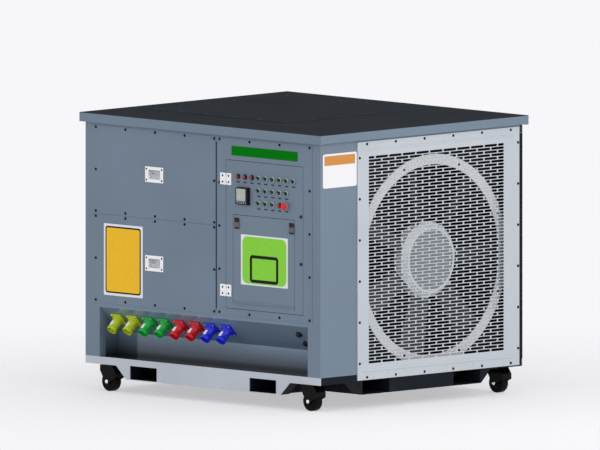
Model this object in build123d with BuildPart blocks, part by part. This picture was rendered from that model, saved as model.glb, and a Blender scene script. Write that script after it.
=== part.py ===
from build123d import *
import math
import os

# Generator load bank: a fan-cooled resistor cabinet on castors.
# Millimetres. Origin on the floor under the middle of the cabinet, +Z up.
# The control and connector side faces -Y, the fan side faces +X.

os.makedirs("parts", exist_ok=True)

# ---------------------------------------------------------------- cabinet
BODY_X = 1800.0            # cabinet, outside
BODY_Y = 1549.0
ROOF_TOP = 1514.0
ROOF_OVER_X = 25.5         # overhang of the roof
ROOF_OVER_Y = 21.5
ROOF_SKIN = 2.0
RIM_HEIGHT = 50.0
RIM_SHEET = 3.0
POST = 45.0                # depth of the box-section posts
POST_WALL = 3.0
LEFT_POST = 108.0          # width of the front posts
RIGHT_POST = 97.0
SHEET = 2.0                # covers
PLATE = 3.0                # decks, bulkheads, tunnels
TOP_BEAM_HEIGHT = 87.0
SEAM_BEAM = 50.0

# ---------------------------------------------------------------- base
BASE_TOP = 190.0
BASE_HEIGHT = 41.0         # base cladding above the skids
CLADDING = 5.0
DECK = 3.0
RAIL_HEIGHT = 29.0
RAIL_WIDTH = 60.0
SKID_HEIGHT = 71.0
SKID_DEPTH = 65.0
SKID_WALL = 4.0
SKID_X_INSET = 235.0       # from the cabinet's corner to the top of a skid
SKID_Y_INSET = 243.5
SKID_RAKE = 74.0           # how much shorter a skid is at its foot, each end
FORK_WIDTH = 206.0
FORK_X_LAND = 30.5         # skid left outside a mouth, front and rear
FORK_Y_LAND = 5.5          # and on the two ends

# ---------------------------------------------------------------- castors
CASTOR_IN_X = 129.0        # swivel axis, in from the cabinet's sides
CASTOR_IN_Y = 62.5
CASTOR_TRAIL = 8.0
CASTOR_PLATE_X = 168.0
CASTOR_PLATE_Y = 108.0
CASTOR_PLATE = 6.0
RACEWAY_R = 34.0
RACEWAY_HEIGHT = 6.0
RACEWAY_SIDES = 12
PIN_SIDES = 8
KINGPIN_R = 6.0
KINGPIN_NUT_R = 11.0
KINGPIN_NUT = 5.0
WHEEL_R = 54.0
WHEEL_WIDTH = 44.0
WHEEL_SIDES = 40
HUB_R = 20.0
AXLE_R = 6.0
AXLE_END = 5.0             # how far the axle stands out of the fork
FORK_INNER = 60.0          # gap between the legs
FORK_LEG = 5.0
FORK_BRIDGE = 6.0
FORK_HALF = 46.0
FORK_FOOT_R = 18.0
FORK_SHOULDER = 24.0
GUARD_REACH = 10.0         # guard on one side of the wheel, clear of the tread
GUARD_DROP = 31.0
GUARD_ABOVE_AXLE = 22.0
RUN_GAP = 0.3              # between faces that slide past each other
BORE_GAP = 0.05            # radial clearance of a pin in its bore

# ---------------------------------------------------------------- front
BAY_HEIGHT = 271.5
BAY_DEPTH = 145.0
HEADER_HEIGHT = 53.5
COVER_IN_LEFT = 55.0       # covers, in from the cabinet's edges
COVER_IN_RIGHT = 62.0
COVER_DROP = 13.0          # below the roof rim
COVER_RISE = 22.5          # above the connector bay
SEAM_GAP = 2.0
JOINT_GAP = 12.0           # dark joint beside the control surround
CONTROL_WIDTH = 728.0
DIVISION_IN = 285.5        # bulkhead between controls and air duct
REAR_COVER_DEPTH = 25.0
REAR_BEAM = 93.0

# ---------------------------------------------------------------- door
DOOR_WIDTH = 588.0
DOOR_IN_RIGHT = 70.0
DOOR_IN_TOP = 120.5
DOOR_IN_BOTTOM = 40.5
DOOR_SHEET = 3.0
DOOR_RETURN = 12.0
DOOR_GAP = 2.5
HINGE_OUT = 5.5            # how far the hinge pin stands out of the face
HINGE_IN_TOP = 103.5
HINGE_IN_BOTTOM = 95.5
HINGE_HEIGHT = 64.0
HINGE_WIDTH = 84.0
HINGE_LEAF = 3.0
LEAF_GAP = 1.0             # between a leaf and the knuckles
HINGE_PIN_R = 2.5
FLAP_IN_LEFT = 54.0
FLAP_IN_RIGHT = 64.0
FLAP_IN_TOP = 295.0
FLAP_IN_BOTTOM = 34.0
FLAP_PIN_R = 1.5
FLAP_BARREL_R = 3.0
FLAP_BARREL = 90.0         # length of each outer knuckle
FLAP_LEAF = 12.0
CASE_MARGIN = 14.0         # pocket for the hand-held controller
CASE_DEPTH = 72.0
LATCH_IN_LEFT = 30.0
LATCH_IN_RIGHT = 20.0
LATCH_IN_TOP = 45.0
LATCH_WIDTH = 38.0
LATCH_HEIGHT = 61.0
LATCH_PROUD = 3.0
LATCH_TRAVEL = 14.0
LATCH_TONGUE = 20.0
LATCH_STEM = 10.0
LATCH_THUMB = 27.0
LOCK_IN_RIGHT = 14.0
LOCK_IN_TOP = 271.0
LOCK_IN_BOTTOM = 276.0
LOCK_R = 6.0
LOCK_DISC_R = 9.0
CAM_REACH = 32.0
CAM_WIDTH = 14.0
CAM_THICK = 3.0
KEEPER = 18.0              # square lug behind the surround
KEEPER_IN = 1.0            # from the edge of the door's hole
METER_IN_LEFT = 135.0
METER_IN_TOP = 188.5
METER = 96.0
METER_PROUD = 24.0
METER_BODY = 50.0
METER_RIM = 14.0
DEVICE_IN_LEFT = 92.0
DEVICE_IN_TOP = 83.5
DEVICE_PITCH = 53.1
DEVICE_ROW = 68.75
BEZEL_R = 14.5
BEZEL_HEIGHT = 6.0
CAP_SIDES = 16             # sides of the bezels, lamps and other small caps
SPINDLE_R = 2.0
KNOB_LENGTH = 24.0
KNOB_WIDTH = 9.0
KNOB_HEIGHT = 11.0
KNOB_ANGLE = 40.0
LAMP_PROUD = 16.0
STOP_R = 19.0
STOP_HEAD = 18.0
STOP_TRAVEL = 5.0
STOP_BEZEL = 10.0
BLOCK_WIDTH = 28.0         # contact block behind the door
BLOCK_HEIGHT = 38.0
BLOCK_DEPTH = 42.0

# ---------------------------------------------------------------- fittings
HANDLE_IN_LEFT = 475.0      # from the covers' left edge
HANDLE_WIDTH = 137.0
HANDLE_HEIGHT = 85.0
HANDLE_FLANGE = 3.0
HANDLE_DEPTH = 26.0
DISH_WIDTH = 90.0
DISH_HEIGHT = 50.0
DISH_WALL = 2.0
BAIL_WIDTH = 70.0
BAIL_R = 4.0
BAIL_DROP = 24.0
BAIL_INSET = 4.0
SOCKET_IN_LEFT = 90.0
SOCKET_PITCH = 119.4
SOCKET_DOWN = 87.5         # along the raked panel from its top edge
FLANGE_WIDTH = 76.0
FLANGE_LENGTH = 78.0
FLANGE_THICK = 12.0
FLANGE_CORNER = 9.0
BARREL_R = 28.0
BARREL_SIDES = 16
BARREL_REACH = 88.0
MOUTH_R = 24.0             # plug's guide bore at the mouth
MOUTH_DEPTH = 8.0
SLEEVE_GAP_R = 22.0        # annular gap round the contact sleeve
SLEEVE_R = 13.0
SLEEVE_DEPTH = 50.0
SLEEVE_SIDES = 8
AUX_IN_RIGHT = 111.0
AUX_DOWN = 67.0
AUX_PITCH = 76.0
AUX_R = 19.0
AUX_HEIGHT = 16.0

# ---------------------------------------------------------------- fan side
GRILLE_IN_LEFT = 280.5
GRILLE_IN_RIGHT = 28.5
GRILLE_IN_TOP = 9.0        # below the roof rim
GRILLE_DROP = 33.0         # how far the sheet laps over the base
GRILLE_THICK = 5.0
SLOTS_IN_LEFT = 81.0
SLOTS_IN_RIGHT = 115.0
SLOTS_IN_TOP = 78.0
SLOTS_IN_BOTTOM = 86.0
SLOT_COLUMNS = 10
SLOT_ROWS = 16
SLOT_BAR = 12.0            # sheet left between two slots
SLOT_LAND = 24.0           # sheet left between two rows
BEAD_IN = 47.5
BEAD_END = 42.5
BEAD_HEIGHT = 3.0
BEAD_WIDTH = 12.0
FAN_LIFT = 2.5             # ring above the deck
FAN_SET = 1.0              # fan axis, towards the front from the grille's middle
FAN_MARGIN = 43.0          # fan ring, inside the grille's edges
FAN_RING_WIDTH = 58.0
FAN_RING_THICK = 8.0
RING_SIDES = 48
SHROUD_IN = 54.0
DUCT_LENGTH = 140.0
DUCT_STAVES = 24           # the duct is folded from flat strips
HUB_FRONT_R = 178.0
HUB_BACK_R = 205.5
HUB_FLARE = 27.0           # length of the hub's raked edge
HUB_PROUD = 4.0
HUB_LENGTH = 80.0
HUB_SHELL = 6.0
SHAFT_R = 24.0
BLADES = 7
BLADE_TIP_GAP = 8.0
BLADE_SET_BACK = 44.0      # middle of the blades, behind the hub's face
BLADE_ROOT_CHORD = 96.0
BLADE_TIP_CHORD = 150.0
BLADE_ROOT_PITCH = 34.0    # degrees
BLADE_TIP_PITCH = 26.0
BLADE_THICK = 5.0
MOTOR_R = 150.0
MOTOR_LENGTH = 260.0
MOTOR_GAP = 110.0          # behind the hub
STAND_THICK = 10.0
STAND_HALF = 190.0
BANK_LEFT = 200.0          # resistor bank inside the cabinet
BANK_GAP = 100.0
BANK_SIDE = 106.0
BANK_HEAD = 85.0
ELEMENT_R = 11.0           # half the width of an element's case
ELEMENT_COLUMNS = 7
ELEMENT_ROWS = 5
LOUVRES = 16
LOUVRE_WIDTH = 66.0
LOUVRE_TILT = 50.0         # degrees

# ---------------------------------------------------------------- screws
SCREW_R = 7.0
SCREW_HEIGHT = 3.0
COVER_SCREW_IN_TOP = 11.5  # rows of front screws, in from the sheets' edges
COVER_SCREW_IN_BOTTOM = 14.5
COVER_SCREW_IN_LEFT = 26.0
COVER_SCREW_IN_RIGHT = 10.0
COVER_SCREWS = 5
CONTROL_SCREW_IN = 18.5
CONTROL_SCREWS = 4
CONTROL_SIDE_SCREWS = 5
GRILLE_SCREW_ROW_IN = 14.0
GRILLE_SCREW_ROW_END = 70.0
GRILLE_SCREW_COLUMN_IN = 13.0
GRILLE_SCREW_COLUMN_END = 89.0
GRILLE_SCREWS = 6
ACCESS_SCREW_IN = 40.0
ACCESS_SCREWS = 6

# ---------------------------------------------------------------- roof access plate
ACCESS_IN_LEFT = 130.0
ACCESS_IN_RIGHT = 583.0
ACCESS_IN_FRONT = 320.5
ACCESS_IN_REAR = 127.5
ACCESS_THICK = 3.0

# ---------------------------------------------------------------- worked out
half_x = BODY_X / 2
half_y = BODY_Y / 2
front = -half_y                              # face of the posts
face = front - SHEET                         # face of the covers and the door
skin_under = ROOF_TOP - ROOF_SKIN
rim_bottom = ROOF_TOP - RIM_HEIGHT
top_beam = skin_under - TOP_BEAM_HEIGHT
base_bottom = BASE_TOP - BASE_HEIGHT
rail_top = BASE_TOP - DECK
belly_top = rail_top - RAIL_HEIGHT
belly = belly_top - PLATE                    # ceiling of the fork tunnels
skid_bottom = base_bottom - SKID_HEIGHT
bay_left = -half_x + LEFT_POST
bay_right = half_x - RIGHT_POST
bay_top = BASE_TOP + BAY_HEIGHT
header_top = bay_top + HEADER_HEIGHT
cover_top = rim_bottom - COVER_DROP
cover_bottom = bay_top + COVER_RISE
cover_seam = (cover_top + cover_bottom) / 2
control_right = half_x - COVER_IN_RIGHT
control_left = control_right - CONTROL_WIDTH
cover_left = -half_x + COVER_IN_LEFT
cover_right = control_left - JOINT_GAP
post_back = front + POST
rear_face = half_y - REAR_COVER_DEPTH
division = front + DIVISION_IN
division_back = division + PLATE
foot_x = half_x - SKID_X_INSET - SKID_RAKE
foot_y = half_y - SKID_Y_INSET - SKID_RAKE
fork_half = FORK_WIDTH / 2
fork_x = foot_x - FORK_X_LAND - fork_half    # tunnels that run front to back
fork_y = foot_y - FORK_Y_LAND - fork_half    # tunnels that run side to side


def block(x0, x1, y0, y1, z0, z1):
    """A plain plate or bar between two corners."""
    with BuildPart() as bar:
        with Locations(((x0 + x1) / 2, (y0 + y1) / 2, (z0 + z1) / 2)):
            Box(x1 - x0, y1 - y0, z1 - z0)
    return bar.part.solid()


def tube(plane, u0, u1, v0, v1, length, wall=POST_WALL):
    """A box section whose outline lies on the plane."""
    with BuildPart() as section:
        with BuildSketch(plane):
            with Locations(((u0 + u1) / 2, (v0 + v1) / 2)):
                Rectangle(u1 - u0, v1 - v0)
                Rectangle(u1 - u0 - 2 * wall, v1 - v0 - 2 * wall, mode=Mode.SUBTRACT)
        extrude(amount=length)
    return section.part.solid()


def tube_z(x0, x1, y0, y1, z0, z1):
    return tube(Plane.XY.offset(z0), x0, x1, y0, y1, z1 - z0)


def tube_x(x0, x1, y0, y1, z0, z1):
    return tube(Plane.YZ.offset(x0), y0, y1, z0, z1, x1 - x0)


def tube_y(x0, x1, y0, y1, z0, z1):
    return tube(Plane.XZ.offset(-y1), x0, x1, z0, z1, y1 - y0)


def prism(plane, points, length):
    """A closed outline on a plane, pushed along it."""
    with BuildPart() as solid:
        with BuildSketch(plane):
            with BuildLine():
                Polyline(*points, close=True)
            make_face()
        extrude(amount=length)
    return solid.part.solid()


def cap(plane, radius, height):
    """A small many-sided cap that stands on the plane."""
    with BuildPart() as disc:
        with BuildSketch(plane):
            RegularPolygon(radius, CAP_SIDES)
        extrude(amount=height)
    return disc.part.solid()


def write(label, *pieces):
    """One STEP file for each named node."""
    node = pieces[0] if len(pieces) == 1 else Compound(children=list(pieces))
    node.label = label
    export_step(node, f"parts/{label}.step")


def outward(x, z, y=face):
    """A plane on a front face: local X is +X, local Y is +Z, out of the face is -Y."""
    return Plane(origin=(x, y, z), x_dir=(1, 0, 0), z_dir=(0, -1, 0))


def rightward(y, z, x=half_x):
    """A plane on the fan side: local X is +Y, local Y is +Z, out of the face is +X."""
    return Plane(origin=(x, y, z), x_dir=(0, 1, 0), z_dir=(1, 0, 0))


def across(x, y, z):
    """A plane that faces +Y: local X is -X, local Y is +Z."""
    return Plane(origin=(x, y, z), x_dir=(-1, 0, 0), z_dir=(0, 1, 0))


# ================================================================ base
inner_x, inner_y = half_x - CLADDING, half_y - CLADDING
base_pieces = [
    tube_x(-inner_x, inner_x, -inner_y, -inner_y + RAIL_WIDTH, belly_top, rail_top),
    tube_x(-inner_x, inner_x, inner_y - RAIL_WIDTH, inner_y, belly_top, rail_top),
    tube_y(-inner_x, -inner_x + RAIL_WIDTH, -inner_y + RAIL_WIDTH, inner_y - RAIL_WIDTH,
           belly_top, rail_top),
    tube_y(inner_x - RAIL_WIDTH, inner_x, -inner_y + RAIL_WIDTH, inner_y - RAIL_WIDTH,
           belly_top, rail_top),
    block(-inner_x, inner_x, -inner_y, inner_y, belly, belly_top),
    block(-inner_x, inner_x, -inner_y, inner_y, rail_top, BASE_TOP),
]

# Fork tunnels, four ways in: straps below, walls beside, the belly plate above.
strap_top = skid_bottom + PLATE
wall_half = fork_half + PLATE
x_runs = [(-inner_x, -fork_x - wall_half), (-fork_x + wall_half, fork_x - wall_half),
          (fork_x + wall_half, inner_x)]
y_runs = [(-inner_y, -fork_y - fork_half), (-fork_y + fork_half, fork_y - fork_half),
          (fork_y + fork_half, inner_y)]
skid_pieces = []
for side in (-1, 1):
    x = side * fork_x
    skid_pieces.append(block(x - wall_half, x + wall_half, -inner_y, inner_y, skid_bottom, strap_top))
    for y0, y1 in y_runs:
        skid_pieces.append(block(x - wall_half, x - fork_half, y0, y1, strap_top, belly))
        skid_pieces.append(block(x + fork_half, x + wall_half, y0, y1, strap_top, belly))
    y = side * fork_y
    for x0, x1 in x_runs:
        skid_pieces.append(block(x0, x1, y - wall_half, y + wall_half, skid_bottom, strap_top))
        skid_pieces.append(block(x0, x1, y - wall_half, y - fork_half, strap_top, belly))
        skid_pieces.append(block(x0, x1, y + fork_half, y + wall_half, strap_top, belly))


def cladding(plane, half, foot, fork_at):
    """One base side: a rail with a raked skid below it and two fork mouths."""
    skid_half = foot + SKID_RAKE
    with BuildPart() as sheet:
        with BuildSketch(plane):
            with BuildLine():
                Polyline(
                    (-half, BASE_TOP), (half, BASE_TOP), (half, base_bottom),
                    (skid_half, base_bottom), (foot, skid_bottom),
                    (-foot, skid_bottom), (-skid_half, base_bottom),
                    (-half, base_bottom), close=True,
                )
            make_face()
            middle = (strap_top + belly) / 2
            with Locations((-fork_at, middle), (fork_at, middle)):
                Rectangle(FORK_WIDTH, belly - strap_top, mode=Mode.SUBTRACT)
        extrude(amount=CLADDING)
    return sheet.part.solid()


def skid_pan(plane, half):
    """The folded pan between the two fork tunnels of a side, open at the back."""
    with BuildPart() as pan:
        with BuildSketch(plane):
            with Locations((0, (skid_bottom + belly) / 2)):
                Rectangle(2 * half, belly - skid_bottom)
        extrude(amount=SKID_DEPTH)
        with BuildSketch(plane.offset(SKID_WALL)):
            with Locations((0, (skid_bottom + belly) / 2)):
                Rectangle(2 * (half - SKID_WALL), belly - skid_bottom - 2 * SKID_WALL)
        extrude(amount=SKID_DEPTH, mode=Mode.SUBTRACT)
    return pan.part.solid()


sides = (
    (Plane(origin=(0, -half_y, 0), x_dir=(-1, 0, 0), z_dir=(0, 1, 0)), half_x, foot_x, fork_x),
    (Plane(origin=(0, half_y, 0), x_dir=(1, 0, 0), z_dir=(0, -1, 0)), half_x, foot_x, fork_x),
    (Plane(origin=(half_x, 0, 0), x_dir=(0, -1, 0), z_dir=(-1, 0, 0)), half_y, foot_y, fork_y),
    (Plane(origin=(-half_x, 0, 0), x_dir=(0, 1, 0), z_dir=(1, 0, 0)), half_y, foot_y, fork_y),
)
end_pieces = []
rake_to_belly = SKID_RAKE * (belly - skid_bottom) / SKID_HEIGHT
for plane, half, foot, fork_at in sides:
    if half == half_x:
        end_pieces.append(cladding(plane, half, foot, fork_at))
    else:
        skid_pieces.append(cladding(plane, inner_y, foot, fork_at))
    inside = plane.offset(CLADDING)
    skid_pieces.append(skid_pan(inside, fork_at - wall_half))
    start = fork_at + wall_half
    for turn in (1, -1):
        outline = [(turn * start, skid_bottom), (turn * foot, skid_bottom),
                   (turn * (foot + rake_to_belly), belly), (turn * start, belly)]
        skid_pieces.append(prism(inside, outline, SKID_DEPTH))
write("end_cladding", *end_pieces)
write("skids", *skid_pieces)

# ================================================================ castors
raceway_top = belly - CASTOR_PLATE
raceway_bottom = raceway_top - RACEWAY_HEIGHT
bridge_top = raceway_bottom - RUN_GAP
bridge_bottom = bridge_top - FORK_BRIDGE
castor_x, castor_y = half_x - CASTOR_IN_X, half_y - CASTOR_IN_Y
leg_in = FORK_INNER / 2
leg_out = leg_in + FORK_LEG
guard_x = CASTOR_TRAIL + WHEEL_R + GUARD_REACH
guard_top = bridge_bottom - GUARD_DROP
guard_bottom = WHEEL_R + GUARD_ABOVE_AXLE
castor_places = {
    "front_left": (-castor_x, -castor_y),
    "front_right": (castor_x, -castor_y),
    "rear_left": (-castor_x, castor_y),
    "rear_right": (castor_x, castor_y),
}


def castor_plate(cx, cy):
    """Bolting plate with the raceway, the kingpin and its nut."""
    pin_bottom = bridge_bottom - RUN_GAP - KINGPIN_NUT
    with BuildPart() as mount:
        with Locations((cx, cy, belly - CASTOR_PLATE / 2)):
            Box(CASTOR_PLATE_X, CASTOR_PLATE_Y, CASTOR_PLATE)
        with BuildSketch(Plane.XY.offset(raceway_bottom)):
            with Locations((cx, cy)):
                RegularPolygon(RACEWAY_R, RACEWAY_SIDES)
        extrude(amount=RACEWAY_HEIGHT)
        with BuildSketch(Plane.XY.offset(pin_bottom)):
            with Locations((cx, cy)):
                Circle(KINGPIN_R)
        extrude(amount=raceway_bottom - pin_bottom)
        with BuildSketch(Plane.XY.offset(pin_bottom)):
            with Locations((cx, cy)):
                RegularPolygon(KINGPIN_NUT_R, 6)
        extrude(amount=KINGPIN_NUT)
    return mount.part.solid()


def castor_fork(cx, cy):
    """Pressed fork: bridge, two legs that narrow to the axle, a guard on one side."""
    with BuildPart() as fork:
        with Locations((cx, cy, bridge_top - FORK_BRIDGE / 2)):
            Box(2 * FORK_HALF, 2 * leg_out, FORK_BRIDGE)
        for start in (-leg_out, leg_in):
            with BuildSketch(across(cx, cy + start, 0)):
                with BuildLine():
                    Polyline(
                        (FORK_HALF, bridge_top), (-FORK_HALF, bridge_top),
                        (-guard_x, guard_top), (-guard_x, guard_bottom),
                        (-CASTOR_TRAIL - FORK_FOOT_R, WHEEL_R),
                        (-CASTOR_TRAIL + FORK_FOOT_R, WHEEL_R),
                        (FORK_HALF, bridge_bottom - FORK_SHOULDER), close=True,
                    )
                make_face()
                with Locations((-CASTOR_TRAIL, WHEEL_R)):
                    RegularPolygon(FORK_FOOT_R, RACEWAY_SIDES)
            extrude(amount=FORK_LEG)
        with BuildSketch(across(cx, cy - leg_out, 0)):
            with BuildLine():
                Polyline(
                    (-FORK_HALF, bridge_top), (-guard_x, guard_top), (-guard_x, guard_bottom),
                    (-guard_x + FORK_LEG, guard_bottom), (-guard_x + FORK_LEG, guard_top),
                    (-FORK_HALF + FORK_LEG, bridge_bottom), close=True,
                )
            make_face()
        extrude(amount=2 * leg_out)
        with BuildSketch(Plane.XY.offset(bridge_bottom)):
            with Locations((cx, cy)):
                RegularPolygon(KINGPIN_R + BORE_GAP, PIN_SIDES, major_radius=False)
        extrude(amount=FORK_BRIDGE, mode=Mode.SUBTRACT)
        with BuildSketch(across(cx + CASTOR_TRAIL, cy - leg_out - AXLE_END, WHEEL_R)):
            RegularPolygon(AXLE_R, PIN_SIDES)
        extrude(amount=2 * (leg_out + AXLE_END))
    return fork.part.solid()


def castor_wheel(cx, cy):
    """Tyre and hub in one piece, bored for the axle."""
    hub_half = leg_in - RUN_GAP
    with BuildPart() as wheel:
        with BuildSketch(across(cx + CASTOR_TRAIL, cy - WHEEL_WIDTH / 2, WHEEL_R)):
            RegularPolygon(WHEEL_R, WHEEL_SIDES, rotation=90)
        extrude(amount=WHEEL_WIDTH)
        with BuildSketch(across(cx + CASTOR_TRAIL, cy - hub_half, WHEEL_R)):
            RegularPolygon(HUB_R, 12)
        extrude(amount=2 * hub_half)
        with BuildSketch(across(cx + CASTOR_TRAIL, cy - hub_half, WHEEL_R)):
            Circle(AXLE_R + BORE_GAP)
        extrude(amount=2 * hub_half, mode=Mode.SUBTRACT)
    return wheel.part.solid()


for place, (cx, cy) in castor_places.items():
    base_pieces.append(castor_plate(cx, cy))
    write(f"castor_fork_{place}", castor_fork(cx, cy))
    write(f"castor_wheel_{place}", castor_wheel(cx, cy))
write("base_frame", *base_pieces)

# ================================================================ cabinet frame
rear_in = rear_face - POST
slant = math.sqrt(2)
shroud_front = half_x - SHROUD_IN
shroud_back = shroud_front - PLATE
frame = [
    tube_z(-half_x, bay_left, front, post_back, BASE_TOP, skin_under),
    tube_z(bay_right, half_x, front, post_back, BASE_TOP, skin_under),
    tube_z(-half_x, -half_x + POST, rear_in, rear_face, BASE_TOP, skin_under),
    tube_z(half_x - POST, half_x, rear_in, rear_face, BASE_TOP, skin_under),
    tube_x(bay_left, bay_right, front, post_back, top_beam, skin_under),
    tube_z(cover_right - POST, cover_right, front, post_back, header_top, top_beam),
    tube_z(control_left, control_left + POST, front, post_back, header_top, top_beam),
    block(cover_right, control_left, post_back - PLATE, post_back, header_top, top_beam),
    tube_x(bay_left, cover_right - POST, front, post_back,
           cover_seam - SEAM_BEAM / 2, cover_seam + SEAM_BEAM / 2),
    block(-half_x + PLATE, half_x - PLATE, division, division_back, BASE_TOP, skin_under),
    block(-half_x + POST, shroud_back, rear_face - PLATE, rear_face, top_beam, skin_under),
    tube_x(-half_x, half_x, rear_face, half_y, skin_under - REAR_BEAM, skin_under),
    # header over the connector bay, its underside raked like the socket panel
    prism(Plane.YZ.offset(bay_left),
          [(front, bay_top + PLATE * slant), (post_back, bay_top + PLATE * slant),
           (post_back, header_top), (front, header_top)], bay_right - bay_left),
]
for low, high in ((-half_x, -half_x + PLATE), (half_x - PLATE, half_x)):
    frame.append(block(low, high, post_back, division, BASE_TOP, skin_under))
for low, high in ((-half_x, -half_x + POST), (half_x - POST, half_x)):
    frame.append(tube_z(low, high, division_back, division_back + POST, BASE_TOP, skin_under))
    frame.append(tube_y(low, high, division_back + POST, rear_in, top_beam, skin_under))
write("cabinet_frame", *frame)

# ================================================================ connector bay
bay_back = front + BAY_DEPTH
bay_knee = bay_top - BAY_DEPTH
panel_rise = PLATE * slant
bay = [
    prism(Plane.YZ.offset(bay_left),
          [(front, bay_top), (bay_back, bay_knee), (bay_back, bay_knee + panel_rise),
           (front, bay_top + panel_rise)], bay_right - bay_left),
    block(bay_left, bay_right, bay_back, bay_back + PLATE, BASE_TOP, bay_knee + panel_rise),
    block(bay_left, bay_right, front, bay_back, BASE_TOP, BASE_TOP + SHEET),
]
for x0 in (bay_left - PLATE, bay_right):
    bay.append(prism(Plane.YZ.offset(x0),
                     [(post_back, BASE_TOP), (bay_back + PLATE, BASE_TOP),
                      (bay_back + PLATE, bay_knee + panel_rise),
                      (post_back, bay_top - POST + panel_rise)], PLATE))
write("bay_liner", *bay)


def on_panel(x, down, out=0.0):
    """A plane on the raked socket panel, facing out of the bay."""
    base = Plane(origin=(x, front + down / slant, bay_top - down / slant),
                 x_dir=(-1, 0, 0), z_dir=(0, -1, -1))
    return base.offset(out)


def power_socket(x):
    """Flange and barrel; a guide bore at the mouth, then a gap round the contact sleeve."""
    with BuildPart() as socket:
        with BuildSketch(on_panel(x, SOCKET_DOWN)):
            Rectangle(FLANGE_WIDTH, FLANGE_LENGTH)
            chamfer(vertices(), FLANGE_CORNER)
        extrude(amount=FLANGE_THICK)
        with BuildSketch(on_panel(x, SOCKET_DOWN, FLANGE_THICK)):
            RegularPolygon(BARREL_R, BARREL_SIDES)
        extrude(amount=BARREL_REACH - FLANGE_THICK)
        with BuildSketch(on_panel(x, SOCKET_DOWN, BARREL_REACH - MOUTH_DEPTH)):
            Circle(MOUTH_R)
        extrude(amount=MOUTH_DEPTH, mode=Mode.SUBTRACT)
        with BuildSketch(on_panel(x, SOCKET_DOWN, BARREL_REACH - MOUTH_DEPTH - SLEEVE_DEPTH)):
            RegularPolygon(SLEEVE_GAP_R, SLEEVE_SIDES)
            RegularPolygon(SLEEVE_R, SLEEVE_SIDES, mode=Mode.SUBTRACT)
        extrude(amount=SLEEVE_DEPTH, mode=Mode.SUBTRACT)
    return socket.part.solid()


for pair, colour in enumerate(("yellow", "green", "red", "blue")):
    first = bay_left + SOCKET_IN_LEFT + 2 * pair * SOCKET_PITCH
    write(f"sockets_{colour}", power_socket(first), power_socket(first + SOCKET_PITCH))

aux = []
for down in (AUX_DOWN, AUX_DOWN + AUX_PITCH):
    aux.append(cap(on_panel(bay_right - AUX_IN_RIGHT, down), AUX_R, AUX_HEIGHT))
write("aux_sockets", *aux)

# ================================================================ front panels
door_right = control_right - DOOR_IN_RIGHT
door_left = door_right - DOOR_WIDTH
door_top = cover_top - DOOR_IN_TOP
door_bottom = cover_bottom + DOOR_IN_BOTTOM
hole_x0, hole_x1 = door_left - DOOR_GAP, door_right + DOOR_GAP
hole_z0, hole_z1 = door_bottom - DOOR_GAP, door_top + DOOR_GAP
door_back = face + DOOR_SHEET
cam_front = door_back + DOOR_RETURN + DOOR_GAP
lock_x = door_right - LOCK_IN_RIGHT
lock_z = {"upper": door_top - LOCK_IN_TOP, "lower": door_bottom + LOCK_IN_BOTTOM}
handle_x = cover_left + HANDLE_IN_LEFT
handle_z = {"upper": (cover_seam + cover_top) / 2, "lower": (cover_seam + cover_bottom) / 2}


def cover(z0, z1, z_handle):
    """A screwed cover with the cut-out for its flush handle."""
    with BuildPart() as sheet:
        with BuildSketch(outward(0, 0, front)):
            with Locations(((cover_left + cover_right) / 2, (z0 + z1) / 2)):
                Rectangle(cover_right - cover_left, z1 - z0)
            with Locations((handle_x, z_handle)):
                Rectangle(DISH_WIDTH + 2 * DISH_WALL, DISH_HEIGHT + 2 * DISH_WALL, mode=Mode.SUBTRACT)
        extrude(amount=SHEET)
    return sheet.part.solid()


panels = [
    cover(cover_seam + SEAM_GAP / 2, cover_top, handle_z["upper"]),
    cover(cover_bottom, cover_seam - SEAM_GAP / 2, handle_z["lower"]),
    # control surround, four sheets round the door
    block(control_left, control_right, face, front, hole_z1, cover_top),
    block(control_left, control_right, face, front, cover_bottom, hole_z0),
    block(control_left, hole_x0, face, front, hole_z0, hole_z1),
    block(hole_x1, control_right, face, front, hole_z0, hole_z1),
]
for z in lock_z.values():
    panels.append(block(hole_x1 + KEEPER_IN, hole_x1 + KEEPER_IN + KEEPER, front, cam_front - RUN_GAP,
                        z - KEEPER / 2, z + KEEPER / 2))
write("front_panels", *panels)

# Flush handles: a dished plate, and a bail that hangs across the dish.
dishes = []
bail_y = face + BAIL_INSET + BAIL_R
for place, z in handle_z.items():
    with BuildPart() as dish:
        with BuildSketch(outward(handle_x, z)):
            Rectangle(HANDLE_WIDTH, HANDLE_HEIGHT)
        extrude(amount=HANDLE_FLANGE)
        with BuildSketch(outward(handle_x, z)):
            Rectangle(DISH_WIDTH + 2 * DISH_WALL, DISH_HEIGHT + 2 * DISH_WALL)
        extrude(amount=-HANDLE_DEPTH)
        with BuildSketch(outward(handle_x, z).offset(HANDLE_FLANGE)):
            Rectangle(DISH_WIDTH, DISH_HEIGHT)
        extrude(amount=-(HANDLE_FLANGE + HANDLE_DEPTH - DISH_WALL), mode=Mode.SUBTRACT)
    dishes.append(dish.part.solid())
    bail_z = z + DISH_HEIGHT / 2 - BAIL_R - HANDLE_FLANGE
    reach = DISH_WIDTH / 2 - RUN_GAP
    pivot = Plane(origin=(handle_x - reach, bail_y, bail_z), x_dir=(0, 1, 0), z_dir=(1, 0, 0))
    with BuildPart() as bail:
        with BuildSketch(pivot):
            Circle(BAIL_R)
        extrude(amount=2 * reach)
        for side in (-1, 1):
            with Locations((handle_x + side * (BAIL_WIDTH / 2 - BAIL_R), bail_y, bail_z - BAIL_DROP / 2)):
                Box(2 * BAIL_R, 1.5 * BAIL_R, BAIL_DROP)
        with Locations((handle_x, bail_y, bail_z - BAIL_DROP)):
            Box(BAIL_WIDTH, 2 * BAIL_R, 2 * BAIL_R)
    write(f"handle_bail_{place}", bail.part.solid())
write("handle_dishes", *dishes)

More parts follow.
